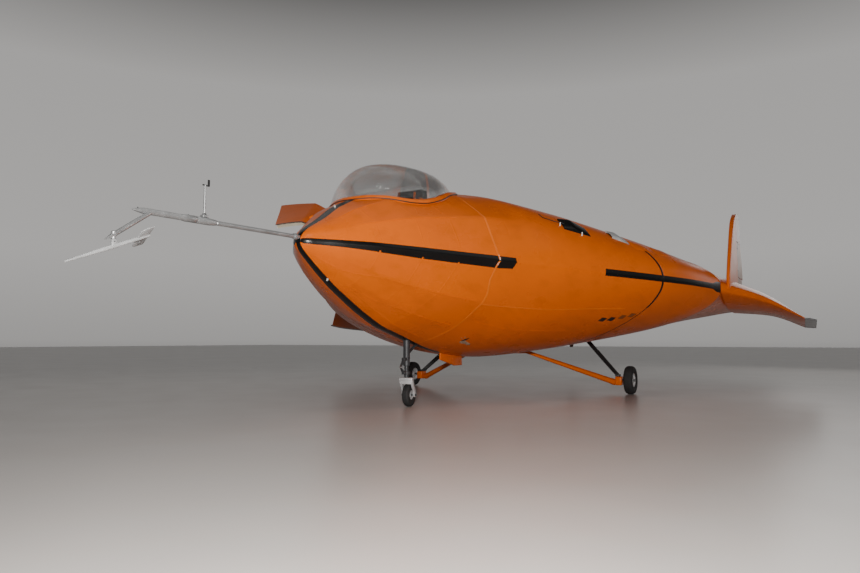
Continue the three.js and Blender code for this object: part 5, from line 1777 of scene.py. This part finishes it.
# Seams, gores and hoops: station, turn in degrees from the top
SEAM_LINE = [
    (1.580, 28), (1.499, 41), (1.439, 57.3), (1.420, 70), (1.413, 84), (1.415, 96), (1.447, 109),
    (1.525, 122), (1.560, 131), (1.615, 141.7), (1.655, 151.3), (1.690, 162), (1.710, 173),
]
LOW_SEAM = [(1.560, 129.0), (2.143, 124.3), (2.526, 119.3), (2.866, 116.7)]
GORES = [
    [(0.120, 146), (0.320, 144), (0.484, 135.5), (0.608, 131), (0.955, 128), (1.470, 128)],
    [(0.448, 158), (0.724, 154), (1.000, 149), (1.560, 148)],
    [(0.520, 160), (0.883, 162.5), (1.250, 165), (1.640, 166)],
    [(1.690, 141), (2.083, 141), (2.680, 136)],
    [(1.875, 147.5), (2.300, 149.5)],
    [(0.320, 55), (0.505, 57), (1.160, 57)],
    [(0.300, 28), (0.620, 28)],
]
# The dark hoop round the rear of the side, wide above and thin below: station, turn
HOOP = [(2.980, 66), (2.990, 71.7), (3.000, 81.7), (3.006, 94.3), (3.050, 106.7), (3.085, 114.3)]
LOW_HOOP = [(3.080, 113.5), (3.120, 122), (3.180, 130.7), (3.300, 142.3), (3.360, 150)]
# Frames under the skin: stations, the turns between which they show, steps along them
FRAMES = [0.480, 0.805, 1.100]
FRAME_TURNS, FRAME_STEPS = ((30, 84), (97, 172)), 6
# A painted highlight: a thin white strip across the black side stripe where the raked seam catches the light
SEAM_GLINT = [(1.415, 86.2), (1.415, 94.6)]
# Tapes: width, rise above the skin
TAPE = {
    "seam": (0.020, 0.0016), "low_seam": (0.012, 0.0016), "gore": (0.016, 0.0012), "frame": (0.014, 0.0009),
    "hoop": (0.026, 0.0014), "low_hoop": (0.012, 0.0014), "seam_glint": (0.011, 0.0016),
}
HATCH_EDGE = 0.03


def tape(kind, path, paint, side=1):
    width, rise = TAPE[kind]
    return skin_strip(kind, [(s, side * t) for s, t in path], width, paint, rise)


def off_hatch(side, path):
    """Whether a tape stays off the skin of the starboard hatch."""
    low, high = HATCH["front"] - HATCH_EDGE, HATCH["rear"] + HATCH_EDGE
    return side > 0 or not any(low < station < high and degrees < 92 for station, degrees in path)


def make_tapes():
    """Doped tapes over the seams, gores and frames of the fabric, and a painted highlight where the raked
    seam crosses the side stripe.
    """
    behind_hatch = [(max(s, HATCH["rear"] + HATCH_EDGE), t) for s, t in SEAM_LINE]
    parts = [tape("seam", SEAM_LINE, "seam"), tape("seam", behind_hatch, "seam", -1)]
    for side in (1, -1):
        parts.extend(tape("gore", path, "orange", side) for path in GORES if off_hatch(side, path))
        for station in FRAMES:
            for low, high in FRAME_TURNS:
                path = [(station, low + (high - low) * i / FRAME_STEPS) for i in range(FRAME_STEPS + 1)]
                if off_hatch(side, path):
                    parts.append(tape("frame", path, "orange", side))
        parts.append(tape("low_seam", LOW_SEAM, "seam", side))
        parts.append(tape("hoop", HOOP, "black", side))
        parts.append(tape("low_hoop", LOW_HOOP, "black", side))
    put(join("skin_tapes", parts), "airframe", "orange")
    # The white strip across the side stripe is a painted highlight on the raked seam
    put(tape("seam_glint", SEAM_GLINT, "white"), "airframe", "orange")


def skin_patch(name, station, degrees, outline, paint, rise=0.001, depth=0.004):
    """A small flat shape on the skin; the outline is metres aft and metres round."""
    turn = math.radians(degrees)
    point, normal = skin_point(station, turn), skin_normal(station, turn)
    aft = (skin_point(station + 0.01, turn) - skin_point(station - 0.01, turn)).normalized()
    around = normal.cross(aft).normalized()
    rings = [[point + aft * a + around * b + normal * up for a, b in outline] for up in (-depth, rise)]
    return ring_piece(name, rings, paint)


def make_marks():
    """The torn patch, drain slots, eyebolts and small fittings that show on the port side."""
    tear = [
        (-0.004, -0.055), (0.014, -0.020), (0.018, 0.020), (0.010, 0.060), (-0.004, 0.030), (-0.016, 0.000),
        (-0.012, -0.030),
    ]
    fray = [
        (-0.010, -0.050), (0.012, -0.012), (0.060, -0.030), (0.130, -0.050), (0.150, -0.075), (0.100, -0.085),
        (0.080, -0.060), (0.040, -0.080), (0.000, -0.075),
    ]
    flaps = [
        [(-0.015, 0.002), (-0.074, 0.024), (-0.078, 0.019)],
        [(-0.010, 0.030), (-0.050, 0.056), (-0.055, 0.050)],
    ]
    # The black tear patch paints the shade inside the slit; the fray and flaps are the torn canvas
    torn = [
        skin_patch("tear", 1.965, 155.3, tear, "dull_black", 0.0016),
        skin_patch("fray", 1.965, 155.3, fray, "canvas", 0.0030),
    ]
    torn.extend(skin_patch("flap", 1.965, 155.3, flap, "canvas", 0.0026) for flap in flaps)
    put(join("torn_fabric", torn), "airframe", "orange")
    hole = [(-0.040, -0.030), (0.030, -0.034), (0.040, 0.030), (-0.030, 0.034)]
    # The drain slots are flat patches on the skin: the black ones and the fainter brown ones paint the shade
    # inside the slots
    slots = [
        skin_patch("slot", s, turn, hole, "dull_black", 0.0012)
        for s, turn in ((2.815, 125.4), (2.895, 124.4))
    ]
    slots.extend(
        skin_patch("slot", s, turn, hole, "crease", 0.0010)
        for s, turn in ((2.970, 122.2), (3.045, 120.4))
    )
    put(join("drain_slots", slots), "airframe", "black")
    for number, (station, degrees) in enumerate(((0.445, 1.0), (0.332, 171.5))):
        turn = math.radians(degrees)
        point, normal = skin_point(station, turn), skin_normal(station, turn)
        ring = []
        for a in np.linspace(0, 2 * math.pi, 17):
            rise = normal * (0.010 + 0.007 * math.cos(a))
            ring.append(point + rise + Vector((0, 1, 0)) * 0.007 * math.sin(a))
        base = rod("base", point - normal * 0.002, point + normal * 0.004, 0.008, "white", steps=24)
        parts = [wire("ring", ring, 0.0028, "white"), base]
        put(join(f"eyebolt_{number}", parts), "airframe", "white")


def make_posts():
    """Two short posts by the black scoop and the thin bent rod between them."""
    frame, length = skin_frame(1, *SCOOPS[0][1:3])
    parts = []
    for forward, across in ((-0.030, 0.034), (length * 0.62, 0.080)):
        foot = frame(forward, across, -0.002)
        parts.append(rod("post", foot, foot + Vector((0.004, 0, 0.036)), 0.006, "white", steps=24))
    put(join("scoop_posts", parts), "airframe", "white")
    bend = [
        frame(-0.235, -0.02, 0.030), frame(-0.19, -0.02, 0.006), frame(-0.06, 0.005, 0.012),
        frame(0.02, 0.030, 0.032),
    ]
    put(wire("scoop_rod", bend, 0.0035, "dull_black"), "airframe", "dull_black")


def make_keel():
    outline = [(2.272, 0.515), (2.272, 0.440), (2.590, 0.368), (2.765, 0.368), (2.765, 0.490)]
    keel = prism("keel_plate", outline, -0.010, 0.010, "orange", 0.003)
    put(keel, "airframe", "orange", "belly_keel")


# Nodes that stay in view with a new paint

NODE_PAINT = {
    "seat_base": "grey", "elevon_port": "orange", "elevon_starboard": "orange", "engine_block": "dark",
}


def paint_nodes():
    for name, word in NODE_PAINT.items():
        mesh = nodes[name].data
        mesh.materials.clear()
        mesh.materials.append(PAINT[word])


# Stage


def make_stage():
    half, low = 60, -0.0005
    corners = [(x * half, y * half, low) for x, y in ((-1, -1), (1, -1), (1, 1), (-1, 1))]
    floor = mesh_piece("floor", corners, [(0, 1, 2, 3)], "grey")
    ground = finish_material("pale_floor", (0.46, 0.43, 0.41), 0.30, vary=0.05, scale=0.5)
    floor.data.materials.clear()
    floor.data.materials.append(ground.material)
    make_world()


# The hall round the aircraft: share, grey. The share is 0 straight down, 0.5 level and 1 straight up.
HALL = [(0.0, 0.04), (0.46, 0.06), (0.50, 0.36), (0.56, 0.46), (0.68, 0.42), (0.76, 0.05), (1.0, 0.03)]


# Direction of the bright wall, and the strength of the walls away from it
BRIGHT_WAY, NEAR_STRENGTH = (-0.5, 0.866, 0.0), 0.45


def make_world():
    """Pale walls round the aircraft under a dark roof, brightest beyond the starboard side."""
    world = bpy.data.worlds.new("studio")
    world.use_nodes = True
    bpy.context.scene.world = world
    tree = world.node_tree
    place = tree.nodes.new("ShaderNodeTexCoord")
    split = tree.nodes.new("ShaderNodeSeparateXYZ")
    height = tree.nodes.new("ShaderNodeMapRange")
    height.inputs["From Min"].default_value = -1.0
    ramp = tree.nodes.new("ShaderNodeValToRGB")
    elements = ramp.color_ramp.elements
    while len(elements) < len(HALL):
        elements.new(0.5)
    for element, (share, grey) in zip(elements, HALL):
        element.position = share
        element.color = (grey, grey * 0.975, grey * 0.95, 1.0)
    tree.links.new(place.outputs["Generated"], split.inputs["Vector"])
    tree.links.new(split.outputs["Z"], height.inputs["Value"])
    tree.links.new(height.outputs["Result"], ramp.inputs["Fac"])
    far = tree.nodes.new("ShaderNodeVectorMath")
    far.operation = "DOT_PRODUCT"
    far.inputs[1].default_value = BRIGHT_WAY
    bright = tree.nodes.new("ShaderNodeMapRange")
    bright.inputs["From Min"].default_value = -0.1
    bright.inputs["From Max"].default_value = 0.6
    bright.inputs["To Min"].default_value = NEAR_STRENGTH
    tree.links.new(place.outputs["Generated"], far.inputs[0])
    tree.links.new(far.outputs["Value"], bright.inputs["Value"])
    tree.links.new(bright.outputs["Result"], tree.nodes["Background"].inputs["Strength"])
    tree.links.new(ramp.outputs["Color"], tree.nodes["Background"].inputs["Color"])


def light(name, place, target, size, power, colour=(1.0, 0.97, 0.93)):
    lamp = bpy.data.lights.new(name, "AREA")
    lamp.shape = "RECTANGLE"
    lamp.size, lamp.size_y = size
    lamp.energy = power
    lamp.color = colour
    holder = linked(name, lamp)
    holder.location = place
    holder.rotation_mode = "QUATERNION"
    holder.rotation_quaternion = (Vector(target) - Vector(place)).to_track_quat("-Z", "Y")


def make_lights():
    light("flash", (3.55, -6.60, 1.10), (0.9, -1.6, 1.2), (0.35, 0.25), 400)
    light("skylight", (1.9, -4.6, 5.2), (0.4, -1.2, 1.8), (1.2, 0.3), 30)
    light("roof_port", (3.2, -0.5, 6.5), (0.6, 0.2, 1.0), (4.0, 8.0), 48)
    light("roof_starboard", (-3.6, -0.5, 6.0), (0.0, 0.2, 1.0), (4.0, 8.0), 40)
    light("rear_window", (6.0, 9.0, 3.8), (1.5, 2.0, 1.3), (8.0, 3.0), 110, (1.0, 1.0, 0.98))


# The view: place as X, station and height, heading in degrees, and the focal length, the picture's width
# and the horizon's distance from the middle in pixels
VIEW = {"place": (3.40, -3.83, 0.65), "heading": 30.0, "focal": 650.0, "width": 860.0, "horizon": 53.5}
SENSOR = 36.0


def make_camera():
    heading = math.radians(VIEW["heading"])
    pitch = math.atan(VIEW["horizon"] / VIEW["focal"])
    forward = Vector((
        -math.sin(heading) * math.cos(pitch), math.cos(heading) * math.cos(pitch), math.sin(pitch),
    ))
    right = Vector((math.cos(heading), math.sin(heading), 0.0))
    up = right.cross(forward)
    lens = bpy.data.cameras.new("camera")
    lens.sensor_width = SENSOR
    lens.lens = SENSOR * VIEW["focal"] / VIEW["width"]
    holder = linked("camera", lens)
    turn = Matrix((right, up, -forward)).transposed().to_4x4()
    holder.matrix_world = Matrix.Translation(at(*VIEW["place"])) @ turn
    bpy.context.scene.camera = holder


make_camera()
make_stage()
make_lights()
paint_nodes()
make_hull()
make_canopy()
make_lip()
make_hatch()
make_seat()
make_controls()
make_boom()
make_air_data()
make_nose_leg()
make_fork()
make_main_gear()
make_wheels()
make_tips()
make_fins()
make_propeller()
make_scoops()
make_blisters()
make_posts()
make_keel()
make_tapes()
make_marks()

bpy.context.view_layer.update()
